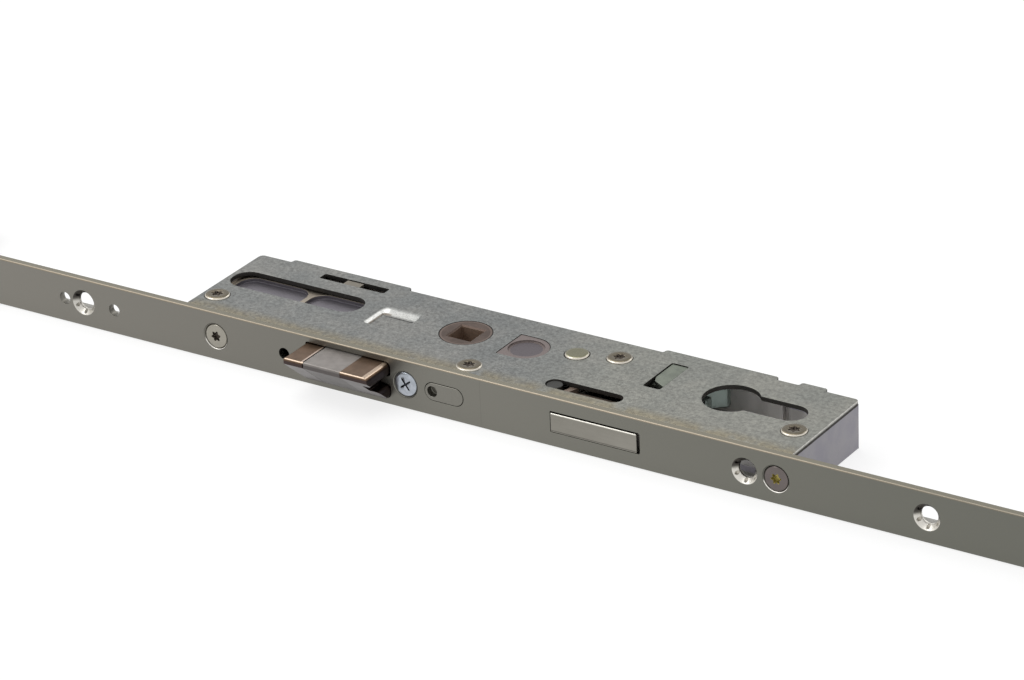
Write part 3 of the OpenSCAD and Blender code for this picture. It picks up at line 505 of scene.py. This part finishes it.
wire_steel = spring_steel()
latch_wire = coiled(2.6, 7, 19.0)
placed(latch_wire, -90, "X", (-28.8, -13.9, 0))
latch_coil = fitted("latch_coil", latch_wire, ["latch_spring"], [wire_steel], edge=0.02,
                    segments=1, angle=80)
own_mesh(latch_coil)
return_wire = coiled(2.2, 12, 33.4)
placed(return_wire, 90, "Y", (-46.5, 12.3, 3.1))
return_coil = fitted("return_coil", return_wire, ["return_spring"], [wire_steel], edge=0.02,
                     segments=1, angle=80)
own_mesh(return_coil)


# Spring carriage: a small zinc casting. Its tab stands up into the slot along the cover's rear
# edge, where a fitter can see how far the follower has pushed it.
def carriage_skin():
    f = Finish("carriage_casting")
    flow, grain, pits, rough, relief = cast_marks(f, 11.0)
    cast = f.blend(f.step(flow, 0.35, 0.65), colour("67635b"), colour("746f66"))
    return f.surface(f.tint(cast, 0.96 + 0.09 * grain - 0.12 * pits), rough, 1.0, relief, 0.012)


fitted("carriage_block", merged("spring_carriage"), ["spring_carriage"],
       [carriage_skin()], edge=0.04, segments=1)


# Deadbolt: a nickel-plated steel block, ground along its length, with a notch behind for the key's
# cam. It slides in the casting and out through its slot in the faceplate.
def bolt_steel():
    f = Finish("bolt_steel")
    ground = f.cloud(0.3, 4, 0.65, (0.03, 1, 1), seed=1.7)
    broad = f.cloud(7, 3, 0.5, (0.4, 1, 1), seed=2.7)
    # A dark line along the lower edge of the front face: painted shadow.
    line = f.band(f.along(2), -2.75, -2.6, 0.1) * f.step(f.along(1), -25.0, -25.1)
    # The top front arris is painted near white: painted highlight.
    painted_highlight_arris = f.step(f.along(2), 2.5, 2.68) * f.step(f.along(1), -24.9, -25.0)
    # The tail, inside the case, is painted grey-green and much lighter, with less metal: its grey-green
    # tint, and painted light where shade falls.
    tail_tint_and_light = f.step(f.along(0), 75.8, 76.2)
    metal = f.blend(f.step(broad, 0.3, 0.7), colour("85827a"), colour("918e86"))
    metal = f.blend(painted_highlight_arris, metal, colour("d4d1c8"))
    metal = f.blend(tail_tint_and_light, metal, colour("a9b7b1"))
    metal = f.tint(metal, 0.9 + 0.2 * ground - 0.5 * line)
    return f.surface(metal, 0.3 + 0.1 * broad + 0.1 * ground, 1 - 0.5 * tail_tint_and_light, ground, 0.006)


fitted("deadbolt_ground", merged("deadbolt"), ["deadbolt"], [bolt_steel()], edge=0.4,
       segments=3)


# Locking slide: a thin plate under the cover, zinc-plated with an olive cast. Its raised pad shows
# in the upright slot beside the cylinder.
olive_zinc = zinc_strip("olive_zinc", "676c63", "73786e", 9.0)
fitted("locking_plate", merged("locking_slide"), ["locking_slide"], [olive_zinc],
       edge=0.04, segments=1)


# Cover: galvanised sheet, blanked and pressed in one stroke. The openings are sheared; their walls
# are darker than the skin, as bare steel and as painted shade, and each screw sits in a shallow coined
# seat whose faces are painted dark as shade.
def ring(bm, x, y, radius, turns=48):
    """Closed line of a round hole."""
    bmesh.ops.create_circle(bm, segments=turns, radius=radius * mm,
                            matrix=Matrix.Translation((x * mm, y * mm, 0)))


def arc(x, y, radius, start, stop, steps=40):
    """Corners for outline() along an arc, with angles in degrees."""
    turns = [math.radians(start + (stop - start) * i / steps) for i in range(steps + 1)]
    return [(x + radius * math.cos(t), y + radius * math.sin(t), 0) for t in turns]


def outline(bm, corners):
    """Closed line through corners given as (x, y, corner radius), in millimetres."""
    points = [bm.verts.new((x * mm, y * mm, 0)) for x, y, _ in corners]
    for i, point in enumerate(points):
        bm.edges.new((points[i - 1], point))
    for point, (_, _, radius) in zip(points, corners):
        if radius:
            bmesh.ops.bevel(bm, geom=[point], offset=radius * mm, offset_type="OFFSET", affect="VERTICES",
                            segments=max(4, int(radius * 5) + 3), profile=0.5, material=-1)


def oblong(bm, x0, x1, y0, y1, radius):
    """Closed line of a slot with rounded corners."""
    outline(bm, [(x0, y0, radius), (x1, y0, radius), (x1, y1, radius), (x0, y1, radius)])


def obround(bm, x0, x1, y, half):
    """Closed line of a slot with round ends."""
    outline(bm, arc(x0 + half, y, half, 90, 270, 24) + arc(x1 - half, y, half, -90, 90, 24))


def punched(bm, thickness, top):
    """Fills closed lines as sheet metal, the inner ones as holes, with its upper skin at height top."""
    bmesh.ops.triangle_fill(bm, use_beauty=True, use_dissolve=False,
                            edges=[e for e in bm.edges if len(e.link_faces) < 2])
    bmesh.ops.dissolve_limit(bm, angle_limit=0.001, use_dissolve_boundaries=False, verts=bm.verts[:],
                             edges=bm.edges[:])
    bmesh.ops.recalc_face_normals(bm, faces=bm.faces[:])
    bmesh.ops.solidify(bm, geom=bm.faces[:], thickness=thickness * mm)
    bmesh.ops.recalc_face_normals(bm, faces=bm.faces[:])
    high = max(v.co.z for v in bm.verts)
    bmesh.ops.translate(bm, verts=bm.verts[:], vec=(0, 0, top * mm - high))


def spun(profile, turns=48):
    """Turns a closed line of (radius, height) about Z, in millimetres."""
    bm = bmesh.new()
    points = [bm.verts.new((r * mm, 0, z * mm)) for r, z in profile]
    line = [bm.edges.new((points[i - 1], point)) for i, point in enumerate(points)]
    bmesh.ops.spin(bm, geom=points + line, cent=(0, 0, 0), axis=(0, 0, 1), angle=2 * math.pi, steps=turns,
                   use_merge=True, use_duplicate=False)
    bmesh.ops.remove_doubles(bm, verts=bm.verts[:], dist=1e-7)
    bmesh.ops.recalc_face_normals(bm, faces=bm.faces[:])
    return bm


def unwalled(bm, places, radius):
    """Takes away the round walls of that radius about each place."""
    rim = radius * mm
    walls = [f for f in bm.faces if abs(f.normal.z) < 0.5 and any(
        all(abs((v.co.xy - Vector(place) * mm).length - rim) < hair for v in f.verts) for place in places)]
    bmesh.ops.delete(bm, geom=walls, context="FACES")


def inlaid(bm, piece, places, radius):
    """Joins a turned piece into round holes of the same radius and number of sides."""
    unwalled(bm, places, radius)
    unwalled(piece, [(0, 0)], radius)
    mesh = bpy.data.meshes.new("inlay")
    piece.to_mesh(mesh)
    piece.free()
    for x, y in places:
        before = set(bm.verts)
        bm.from_mesh(mesh)
        bmesh.ops.translate(bm, verts=[v for v in bm.verts if v not in before], vec=(x * mm, y * mm, 0))
    bmesh.ops.remove_doubles(bm, verts=bm.verts[:], dist=weld)


def galvanised():
    """Spangled zinc, stained along the faceplate, with a painted highlight on the pressed guide's slopes and
    painted shade in its crease.
    """
    f = Finish("galvanised")
    x, y, z = f.along(0), f.along(1), f.along(2)
    right = f.step(x, 15, 60)
    mottle = f.step(f.cloud(1.3, 3, 0.6, seed=1.1), 0.33, 0.67)
    speckle = f.step(f.cloud(0.6, 3, 0.7, seed=7.7), 0.3, 0.7)
    broad = f.cloud(16, 4, 0.55, seed=2.2)
    streaks = f.cloud(0.8, 4, 0.6, (0.1, 1, 1), seed=3.3)
    flecks = f.step(f.cloud(0.42, 3, 0.65, seed=4.4), 0.62, 0.7) * \
        f.step(f.cloud(5, 3, 0.6, seed=5.5), 0.42, 0.6)
    olive = f.step(y, -16.5, -22.0) * f.step(f.cloud(7, 3, 0.5, seed=6.6), 0.3, 0.55)
    pressed = f.band(x, -34.5, -15.5, 0.3) * f.band(y, -10.5, 6.0, 0.3)
    # The guide's slopes are painted almost white: painted highlight.
    painted_highlight_slope = pressed * f.step(z, 7.76, 7.35) * f.step(z, 6.68, 6.8)
    foot = pressed * f.band(z, 6.68, 6.9, 0.05) * f.step(x, -27, -29)
    # A dark line in the guide's crease: painted shade.
    crease = f.band(y, -0.15, 0.35, 0.15) * f.band(x, -29.5, -18.6, 0.5) * f.step(z, 7.4, 7.2)
    # On the cover's end wall the lower part is painted dark and the top edge pale: painted shadow in the gap
    # below, and a painted highlight.
    end_wall = f.band(x, 125.05, 125.6, 0.1)
    sheet = f.blend(f.step(broad, 0.35, 0.65), colour("6c6e6d"), colour("787875"))
    for place, shade in ((right * 0.4, "717167"), (olive * 0.7, "776f5b"),
                         (painted_highlight_slope * (0.3 + 0.7 * f.step(x, -28.5, -30)), "c9c9c6"), (foot * 0.8, "5f564c"),
                         (end_wall * f.step(z, 7.3, 7.1), "2a2724"),
                         (end_wall * f.step(z, 7.35, 7.5), "a3a19d")):
        sheet = f.blend(place, sheet, colour(shade))
    sheet = f.tint(sheet, 0.56 + 0.36 * mottle + 0.34 * speckle + 0.4 * (0.3 + right) * streaks
                   - 0.5 * flecks - 0.6 * crease)
    return f.surface(sheet, 0.34 + 0.12 * broad + 0.16 * mottle + 0.15 * flecks, 1.0,
                     mottle * 0.5 + streaks * 0.3 - flecks * 0.6, 0.008)


def sheared_and_shaded_edge():
    f = Finish("sheared_and_shaded_edge")
    torn = f.cloud(0.3, 4, 0.6, (1, 1, 0.3), seed=2.4)
    # The cut walls are bare steel, darker than the skin, and their dark colour is partly painted shade.
    metal = f.tint(f.blend(torn, colour("3a3835"), colour("4c4a47")), 0.85 + 0.3 * torn)
    return f.surface(metal, 0.5 + 0.15 * torn, 0.9, torn, 0.02)


left, right, front, rear, lug = -87, 125.2, -22.4, 16.7, 18.5
cover_t = case_top - cover_low
cover_screws = [(-81.9, -13.8), (13.1, -18.3), (49.7, 7.0), (118.2, -9.4)]
rivet = (37.2, 3.3)
guide_x, guide_y, guide_depth = (-35.0, -15.0), (-11.0, 6.5), 1.2
cover = bmesh.new()
cell = 0.25
guide_long, guide_wide = guide_x[1] - guide_x[0], guide_y[1] - guide_y[0]
bmesh.ops.create_grid(cover, x_segments=round(guide_long / cell), y_segments=round(guide_wide / cell),
                      size=0.5)
for v in cover.verts:
    x = guide_x[0] + (v.co.x + 0.5) * guide_long
    y = guide_y[0] + (v.co.y + 0.5) * guide_wide
    # How far this point is down each of the guide's four slopes, from 0 at the top to 1 at the foot.
    sides = ((x + 32.4) / 2.3, (4.6 - y) / 4.5, (y + 8.7) / 1.3, (-17.7 - x) / 1.3)
    sink = guide_depth
    for side in sides:
        side = min(max(side, 0), 1)
        sink *= side * side * (3 - 2 * side)
    v.co = Vector((x, y, -sink)) * mm
outline(cover, [(left, front, 0.3), (right, front, 0.3), (right, rear, 1.6), (113.8, rear, 0.6),
                (113.8, lug, 1.0), (105, lug, 1.0), (105, rear, 0.6), (97.5, rear, 0.6), (97.5, lug, 1.0),
                (59, lug, 1.0), (59, rear, 0.6), (-31.6, rear, 0.6), (-31.6, lug, 1.0), (-75.5, lug, 1.0),
                (-75.5, rear, 0.6), (left, rear, 1.6)])
ring(cover, 0, 0, 8.25, 96)
outline(cover, arc(92, 0, 8.65, 36.13, 323.87, 72) + arc(111.65, 0, 5.1, -90, 90, 32))
outline(cover, arc(21.5, 0, 7.2, -90, 90, 48) + [(15.2, 7.2, 0.2), (15.2, -7.2, 0.2)])
oblong(cover, -85.4, -37.7, -5.7, 5.3, 5.2)
oblong(cover, -61.2, -37.38, 11.2, 14.6, 0.6)
obround(cover, 38.85, 64.7, -16.2, 2.75)
oblong(cover, 65.0, 70.8, -5.2, 11.8, 0.7)
front_screw = cover_screws[1]
seated = [spot for spot in cover_screws if spot != front_screw]
seat_r, rivet_seat_r, screw_hole_r, seat_depth = 4.06, 4.0, 1.55, 0.3
for x, y in seated:
    ring(cover, x, y, seat_r)
ring(cover, *front_screw, screw_hole_r)
ring(cover, *rivet, rivet_seat_r)
punched(cover, cover_t, case_top)
for f in cover.faces:
    middle = f.calc_center_median() / mm
    in_guide = guide_x[0] < middle.x < guide_x[1] and guide_y[0] < middle.y < guide_y[1]
    f.material_index = 1 if abs(f.normal.z) < 0.5 and not in_guide and middle.x < right - 0.2 else 0
seat_z = case_top - seat_depth
for places, outer, inner in ((seated, seat_r, screw_hole_r), ([rivet], rivet_seat_r, 1.95)):
    seat_ring = spun([(outer, case_top), (outer - 0.04, seat_z), (inner, seat_z), (inner, cover_low),
                   (outer, cover_low)])
    # The seat's faces take the same dark finish: painted shade in the seat.
    for f in seat_ring.faces:
        f.material_index = 1
    inlaid(cover, seat_ring, places, outer)
cover_zinc, shear_and_shade = galvanised(), sheared_and_shaded_edge()
fitted("case_cover_sheet", cover, ["case_cover"], [cover_zinc, shear_and_shade], edge=0.14,
       angle=60)


# Cover screws: low pan heads with a six-lobe socket, plated in warm nickel. The socket is painted
# darker, as shade in the recess.
def socket(bm, lobes, inner, outer, sharp, top, floor, sides=48):
    """Starts a screw head with its recess, and returns the recess's upper line."""
    loop = bmesh.ops.create_circle(bm, segments=sides, radius=mm)["verts"]
    for v in loop:
        turn = math.atan2(v.co.y, v.co.x)
        painted_light_middle = ((1 + math.cos(lobes * turn)) / 2) ** sharp
        v.co = v.co.normalized() * (inner + (outer - inner) * painted_light_middle) * mm + Vector((0, 0, top * mm))
    rim = bm.edges[:]
    made = bmesh.ops.extrude_edge_only(bm, edges=rim)["geom"]
    low = [g for g in made if isinstance(g, bmesh.types.BMVert)]
    bmesh.ops.scale(bm, vec=(0.86, 0.86, 1), verts=low)
    bmesh.ops.translate(bm, vec=(0, 0, (floor - top) * mm), verts=low)
    bmesh.ops.edgeloop_fill(bm, edges=[e for e in bm.edges if all(v in low for v in e.verts)])
    for f in bm.faces:
        f.material_index = 1
    return rim


def drawn_out(bm, edges, rings):
    """Carries a closed line on through rings given as (radius, height), then closes the end."""
    for radius, height in rings:
        made = bmesh.ops.extrude_edge_only(bm, edges=edges)["geom"]
        fresh = {g for g in made if isinstance(g, bmesh.types.BMVert)}
        for g in made:
            if isinstance(g, bmesh.types.BMFace):
                g.material_index = 0
        for v in fresh:
            v.co = Vector((*(v.co.xy.normalized() * radius), height)) * mm
        edges = [e for e in bm.edges if set(e.verts) <= fresh]
    for f in bmesh.ops.edgeloop_fill(bm, edges=edges)["faces"]:
        f.material_index = 0
    bmesh.ops.recalc_face_normals(bm, faces=bm.faces[:])
    return bm


def set_out(piece, places):
    """Copies of a piece at places given as (x, y, turn in degrees)."""
    mesh = bpy.data.meshes.new("set out")
    piece.to_mesh(mesh)
    piece.free()
    bm = bmesh.new()
    for x, y, turn in places:
        before = set(bm.verts)
        bm.from_mesh(mesh)
        fresh = [v for v in bm.verts if v not in before]
        bmesh.ops.transform(bm, verts=fresh, matrix=Matrix.Translation((x * mm, y * mm, 0))
                            @ Matrix.Rotation(math.radians(turn), 4, "Z"))
    return bm


def warm_nickel(name, shade, seed, rim=None):
    """Nickel plate, with a painted highlight below a rim given as the heights where the brightness starts
    and ends.
    """
    f = Finish(name)
    broad = f.cloud(2.2, 3, 0.5, seed=seed)
    fine = f.cloud(0.22, 4, 0.6, seed=seed + 1)
    metal = colour(shade)
    if rim:
        # The head's side below the rim is painted pale: painted highlight.
        metal = f.blend(f.step(f.along(2), *rim), metal, colour("cfc9bd"))
    metal = f.tint(metal, 0.8 + 0.28 * broad + 0.1 * fine)
    return f.surface(metal, 0.16 + 0.14 * broad + 0.06 * fine, 1.0, fine, 0.003)


def dark_socket(name, shade, other, seed):
    f = Finish(name)
    socket_blotches = f.cloud(0.5, 4, 0.6, seed=seed)
    # The recess is painted in a dark and a lighter colour, in blotches; the dark one is painted shade.
    metal = f.blend(f.step(socket_blotches, 0.35, 0.65), colour(shade), colour(other))
    return f.surface(metal, 0.4 + 0.2 * socket_blotches, 0.9, socket_blotches, 0.01)


def pan_screw(head, end):
    """Pan-head screw whose seat is at height head and whose tip is at height end."""
    bm = bmesh.new()
    rim = socket(bm, 6, 1.25, 1.95, 1.0, head + 0.86, head + 0.12)
    return drawn_out(bm, rim, [(2.25, head + 0.9), (2.9, head + 0.9), (3.25, head + 0.87),
                               (3.55, head + 0.78), (3.8, head + 0.6), (3.93, head + 0.38),
                               (3.95, head + 0.18), (3.88, head), (1.5, head), (1.5, end + 0.4), (1.1, end)])


screw_nickel = warm_nickel("warm_nickel", "645d4f", 2.0, rim=(8.28, 8.12))
screw_socket = dark_socket("screw_socket", "1c1917", "6f665d", 5.0)
screw_end = -1.7
screws = set_out(pan_screw(seat_z, screw_end),
                 [(x, y, 17 + 31 * i) for i, (x, y) in enumerate(cover_screws)])
fitted("cover_pan_screws", screws, ["cover_screws"], [screw_nickel, screw_socket],
       edge=0.06, angle=50)


# Rivet: a solid steel rivet beside the lever's post, plated in warm nickel. It is headed over the
# cover and peened into the underside of the case.
peened = bmesh.new()
bmesh.ops.create_circle(peened, segments=48, radius=2.4 * mm, cap_ends=True,
                        matrix=Matrix.Translation((0, 0, (seat_z + 0.86) * mm)))
drawn_out(peened, peened.edges[:], [(3.1, seat_z + 0.88), (3.35, seat_z + 0.8), (3.6, seat_z + 0.55),
                                    (3.74, seat_z + 0.25), (3.7, seat_z), (1.9, seat_z), (1.9, -7.0),
                                    (3.2, -7.0), (3.15, -7.55), (2.7, -7.75)])
fitted("cover_solid_rivet", set_out(peened, [(*rivet, 0)]), ["cover_rivet"],
       [warm_nickel("rivet_nickel", "72705c", 8.0, rim=(8.3, 8.15))], edge=0.06, angle=50)


# Hook cases: the same casting and cover above and below the centre case. In each a forged hook
# swings on a pin, turned by the stud of a slide that the rod carries.
def forged_hook():
    f = Finish("hook_steel")
    broad = f.cloud(6, 4, 0.55, seed=12.0)
    grit = f.cloud(0.25, 4, 0.6, seed=13.0)
    metal = f.blend(f.step(broad, 0.35, 0.65), colour("86837c"), colour("949189"))
    metal = f.tint(metal, 0.9 + 0.16 * grit)
    return f.surface(metal, 0.34 + 0.12 * broad + 0.08 * grit, 1.0, grit, 0.01)


hook_steel = forged_hook()
hook_places = [(x, y) for x in (-36.5, 44.5) for y in (-9, 12)]
hook_pivots = {"upper": -240, "lower": 252}
for side, pivot in hook_pivots.items():
    for piece, node, slot, material, edge, segments in (
            ("_hook_casting", "_hook_body", "die_casting", case_zinc, 0.14, 2),
            ("_swing_hook", "_hook", "bolt_steel", hook_steel, 0.2, 2),
            ("_hook_pivot", "_hook_pin", "pin_steel", pin_steel, pin_edge, 3),
            ("_hook_driver", "_hook_slide", "zinc_plate", strip_zinc, 0.1, 2)):
        fitted(side + piece, merged(side + node), [side + node], [material], edge, segments)
    lid = bmesh.new()
    outline(lid, [(-40, front, 0.3), (48, front, 0.3), (48, rear, 2.2), (-40, rear, 2.2)])
    ring(lid, 0, -7, 3.02)
    obround(lid, -11.35, 11.35, 4.5, 2.35)
    for x, y in hook_places:
        ring(lid, x, y, screw_hole_r)
    punched(lid, cover_t, case_top)
    bmesh.ops.translate(lid, verts=lid.verts[:], vec=(pivot * mm, 0, 0))
    for f in lid.faces:
        f.material_index = 1 if abs(f.normal.z) < 0.5 else 0
    fitted(side + "_hook_lid", lid, [side + "_hook_cover"], [cover_zinc, shear_and_shade],
           edge=0.2, segments=3, angle=60)
    lid_screws = set_out(pan_screw(seat_z, screw_end),
                         [(pivot + x, y, 40 + 23 * i) for i, (x, y) in enumerate(hook_places)])
    fitted(side + "_hook_pan_screws", lid_screws, [side + "_hook_screws"],
           [screw_nickel, screw_socket], edge=0.06, angle=50)


# Faceplate: one long strip of satin steel, 16 mm wide, with rounded ends and softly rolled edges.
# The door screws sit in pressed countersinks whose rims are slit into six petals.
def carved(bm, cutter):
    """bm with the solids of cutter taken out of it."""
    objects = []
    for part in (bm, cutter):
        mesh = bpy.data.meshes.new("carving")
        part.to_mesh(mesh)
        part.free()
        objects.append(bpy.data.objects.new("carving", mesh))
        bpy.context.scene.collection.objects.link(objects[-1])
    cut = objects[0].modifiers.new("cut", "BOOLEAN")
    cut.operation, cut.solver, cut.object, cut.use_self = "DIFFERENCE", "EXACT", objects[1], True
    bpy.context.view_layer.update()
    shape = objects[0].evaluated_get(bpy.context.evaluated_depsgraph_get())
    result = bmesh.new()
    result.from_mesh(shape.to_mesh())
    shape.to_mesh_clear()
    for thing in objects:
        bpy.data.objects.remove(thing)
    return result


def nearest(f, holes):
    """Distance from the nearest of the holes at those places along the faceplate."""
    distance = f.away(holes[0], 0, (0, 2))
    for x in holes[1:]:
        distance = distance & f.away(x, 0, (0, 2))
    return distance


def satin_faceplate():
    f = Finish("satin_faceplate")
    x, y, z = f.along(0), f.along(1), f.along(2)
    broad = f.cloud(38, 3, 0.5, (0.35, 1, 1), seed=1.3)
    fine = f.cloud(0.5, 5, 0.6, (0.5, 1, 1), seed=2.1)
    rolled = f.cloud(0.22, 3, 0.6, (0.04, 1, 1), seed=4.2)
    flecks = f.step(f.cloud(0.9, 6, 0.65, seed=3.3), 0.66, 0.8)
    past_end = (end_centres[0] - x) | (x - end_centres[1]) | 0.0
    from_middle = (past_end ** 2 + z ** 2) ** 0.5
    # The strip's narrow edges and back are painted darker: painted shade.
    rim = f.step(from_middle, 7.78, 7.92) * f.step(y, -24.75, -24.55)
    # The top front arris is painted warmer and brighter: painted highlight.
    painted_highlight_arris = f.step(from_middle, 7.5, 7.68) * f.step(y, -24.55, -24.75) * f.step(z, 0, 2)
    # In the door-screw countersinks the lower part is painted pale and the upper part dark: painted light
    # and painted shade.
    dimple = f.step(nearest(f, door_fixings), 4.3, 4.1) * f.step(y, -24.99, -24.93)
    # The lower part of the ring round each centre screw's seat is painted bright: painted highlight.
    seat_ring = f.band(nearest(f, centre_screws), 4.12, 4.36, 0.06) * f.step(y, -24.6, -24.8) * \
        f.step(z + 0.4 * f.cloud(2, 2, 0.5, seed=8.8), -0.6, -1.8)
    # A middle stretch of the strip is painted lighter: painted light.
    painted_light_middle = f.step(x, -60, 40) * f.step(x, 300, 190)
    witness = f.band(x, 20.9, 21.1, 0.12) * f.step(y, -24.9, -25.0)
    # The strip is painted darker towards its right end: painted shade.
    metal = f.blend(f.step(x, -230, 230), colour("827f78"), colour("66665f"))
    metal = f.blend(rim * 0.9, metal, colour("6f6b5f"))
    metal = f.blend(painted_highlight_arris, metal, f.blend(f.step(x, 60, 200), colour("857c6e"), colour("716b60")))
    for place, shade in ((seat_ring, "d9d6cf"), (dimple * f.step(z, 0.8, -0.8), "c9c6bf"),
                         (dimple * f.step(z, -0.4, 1.2), "45423f")):
        metal = f.blend(place, metal, colour(shade))
    metal = f.tint(metal, 0.95 + 0.17 * painted_light_middle + 0.06 * broad + 0.05 * fine - 0.08 * flecks - 0.09 * witness)
    return f.surface(metal, 0.36 + 0.08 * broad + 0.06 * fine, 1.0, rolled * 0.6 + fine * 0.4, 0.004)


face_t, back_y, half_width = 2.5, -22.5, 8
end_centres = (-292, 312)
door_fixings = (-290, -125.6, 110.6, 169.2, 310)
centre_screws = (-75.0, 120.9)
screw_places = centre_screws + tuple(p + step for p in hook_pivots.values() for step in (-20, 43))
reversing_x = -5.6
sunk_r, head_seat_r = 4.5, 4.35
strip = bmesh.new()
obround(strip, end_centres[0] - half_width, end_centres[1] + half_width, 0, half_width)
for x in door_fixings:
    ring(strip, x, 0, sunk_r, 72)
for x, small_r in ((-132.8, 2.0), (-113.7, 2.0), (-49.6, 1.9)):
    ring(strip, x, 0, small_r)
for x in screw_places + (reversing_x,):
    ring(strip, x, 0, head_seat_r)
outline(strip, [(-41.35, -6.05, 0.6), (-11.1, -6.05, 1.7), (-10.85, -1.25, 1.2), (-14.35, -1.25, 0.7),
                (-14.35, 1.25, 0.7), (-10.85, 1.25, 1.2), (-10.85, 6.05, 1.7), (-41.35, 6.05, 0.6)])
outline(strip, [(45.2, -3.35, 0.3), (75.75, -3.35, 0.7), (75.75, 3.45, 0.7), (45.2, 3.45, 0.3)])
obround(strip, 1.3, 15.0, 0, 3.0)
for p in hook_pivots.values():
    oblong(strip, p - 5.2, p + 35.6, -3.5, 3.5, 1.0)
punched(strip, face_t, face_t)
countersink = spun([(sunk_r, face_t), (4.28, 2.49), (4.12, 2.42), (3.98, 2.28), (2.88, 0.98), (2.75, 0.8),
                    (2.75, 0.08), (2.83, 0), (sunk_r, 0)], turns=72)
slits = bmesh.new()
petals, slit_end_r = 6, 0.5
for i in range(petals):
    turn = Matrix.Rotation(math.radians(30 + 360 / petals * i), 4, "Z")
    bmesh.ops.create_cube(slits, size=mm, matrix=turn @ Matrix.Translation(Vector((2.85, 0, 1.7)) * mm)
                          @ Matrix.Diagonal((1.5, 0.5, 1.9, 1)))
    bmesh.ops.create_cone(slits, cap_ends=True, segments=20, radius1=slit_end_r * mm,
                          radius2=slit_end_r * mm, depth=2.1 * mm,
                          matrix=turn @ Matrix.Translation(Vector((3.35, 0, 1.75)) * mm))
inlaid(strip, carved(countersink, slits), [(x, 0) for x in door_fixings], sunk_r)
seat = spun([(head_seat_r, face_t), (4.32, face_t), (4.13, 2.32), (4.1, 2.1), (2.05, 0.55), (2.05, 0),
             (head_seat_r, 0)])
inlaid(strip, seat, [(x, 0) for x in screw_places + (reversing_x,)], head_seat_r)


def out_from_middle(v):
    """How far a corner of the strip lies from its middle line, in millimetres."""
    x, y = v.co.xy / mm
    return math.hypot(max(end_centres[0] - x, x - end_centres[1], 0), y)


long_edges = [e for e in strip.edges if len(e.link_faces) == 2 and e.calc_face_angle() > 1.0
              and all(out_from_middle(v) > half_width - 0.05 for v in e.verts)]
bmesh.ops.bevel(strip, geom=long_edges, offset=0.4 * mm, affect="EDGES", segments=3, profile=0.5,
                material=-1)
placed(strip, 90, "X", (0, back_y, 0))
fitted("rolled_faceplate", strip, ["faceplate"], [satin_faceplate()], edge=0.12,
       angle=40)


# Faceplate screws: flush countersunk heads with a six-lobe socket. The lowest one of the centre
# case is dark with a yellow socket, the others are bright.
def flush_screw(lobes, inner, outer, sharp, end, places):
    """Countersunk screws with their heads at the faceplate's front and their tips at depth end."""
    bm = bmesh.new()
    rim = socket(bm, lobes, inner, outer, sharp, face_t - 0.03, face_t - 1.1, sides=72 if sharp > 1 else 48)
    drawn_out(bm, rim, [(outer + 0.35, face_t - 0.02), (3.3, face_t - 0.04), (3.6, face_t - 0.1),
                        (3.83, face_t - 0.25), (3.92, face_t - 0.5), (2.0, face_t - 1.9), (2.0, end + 0.5),
                        (1.5, end)])
    heads = set_out(bm, places)
    placed(heads, 90, "X", (0, back_y, 0))
    return heads


six_lobes = (6, 1.15, 1.75, 1.0)
face_screw_end = -10.5
dark_x = centre_screws[1]
bright_places = [(x, 0, 12 + 19 * i) for i, x in enumerate(x for x in screw_places if x != dark_x)]
for name, slot, places, finishes in (
        ("bright_face_screws", "nickel_screw", bright_places,
         [warm_nickel("bright_nickel", "99958b", 14.0), screw_socket]),
        ("dark_face_screw", "yellow_screw", [(dark_x, 0, 8)],
         [warm_nickel("dark_nickel", "6b6462", 16.0),
          dark_socket("yellow_socket", "6f6433", "b3a763", 17.0)])):
    fitted(name, flush_screw(*six_lobes, face_screw_end, places), ["faceplate_screws"], finishes,
           edge=0.06, angle=50)


# Latch reversing screw: zinc plate with a blue cast and a cross recess. Undone, it lets the latch
# be pulled out and turned over.
def blue_zinc():
    f = Finish("blue_zinc")
    broad = f.cloud(2.5, 3, 0.5, seed=21.0)
    fine = f.cloud(0.25, 4, 0.6, seed=22.0)
    metal = f.blend(f.step(broad, 0.4, 0.6), colour("a3a9b0"), colour("b5bac2"))
    metal = f.tint(metal, 0.92 + 0.1 * fine)
    return f.surface(metal, 0.24 + 0.1 * broad, 1.0, fine, 0.003)


cross = (4, 0.5, 2.3, 4.0)
reversing = flush_screw(*cross, -3.0, [(reversing_x, 0, 37)])
fitted("reversing_screw_head", reversing, ["latch_reversing_screw"],
       [blue_zinc(), dark_socket("blue_socket", "35383d", "555a62", 23.0)], edge=0.06, angle=50)


# Locating plug: a flat steel capsule that stands a little proud of the faceplate, with a blind
# hole at one end. It is clamped between the faceplate and the case.
plug_steel = drawn_steel("plug_steel", "7c7a73", 24.0)
fitted("locating_capsule", merged("locating_plug"), ["locating_plug"], [plug_steel],
       edge=0.22, segments=3)
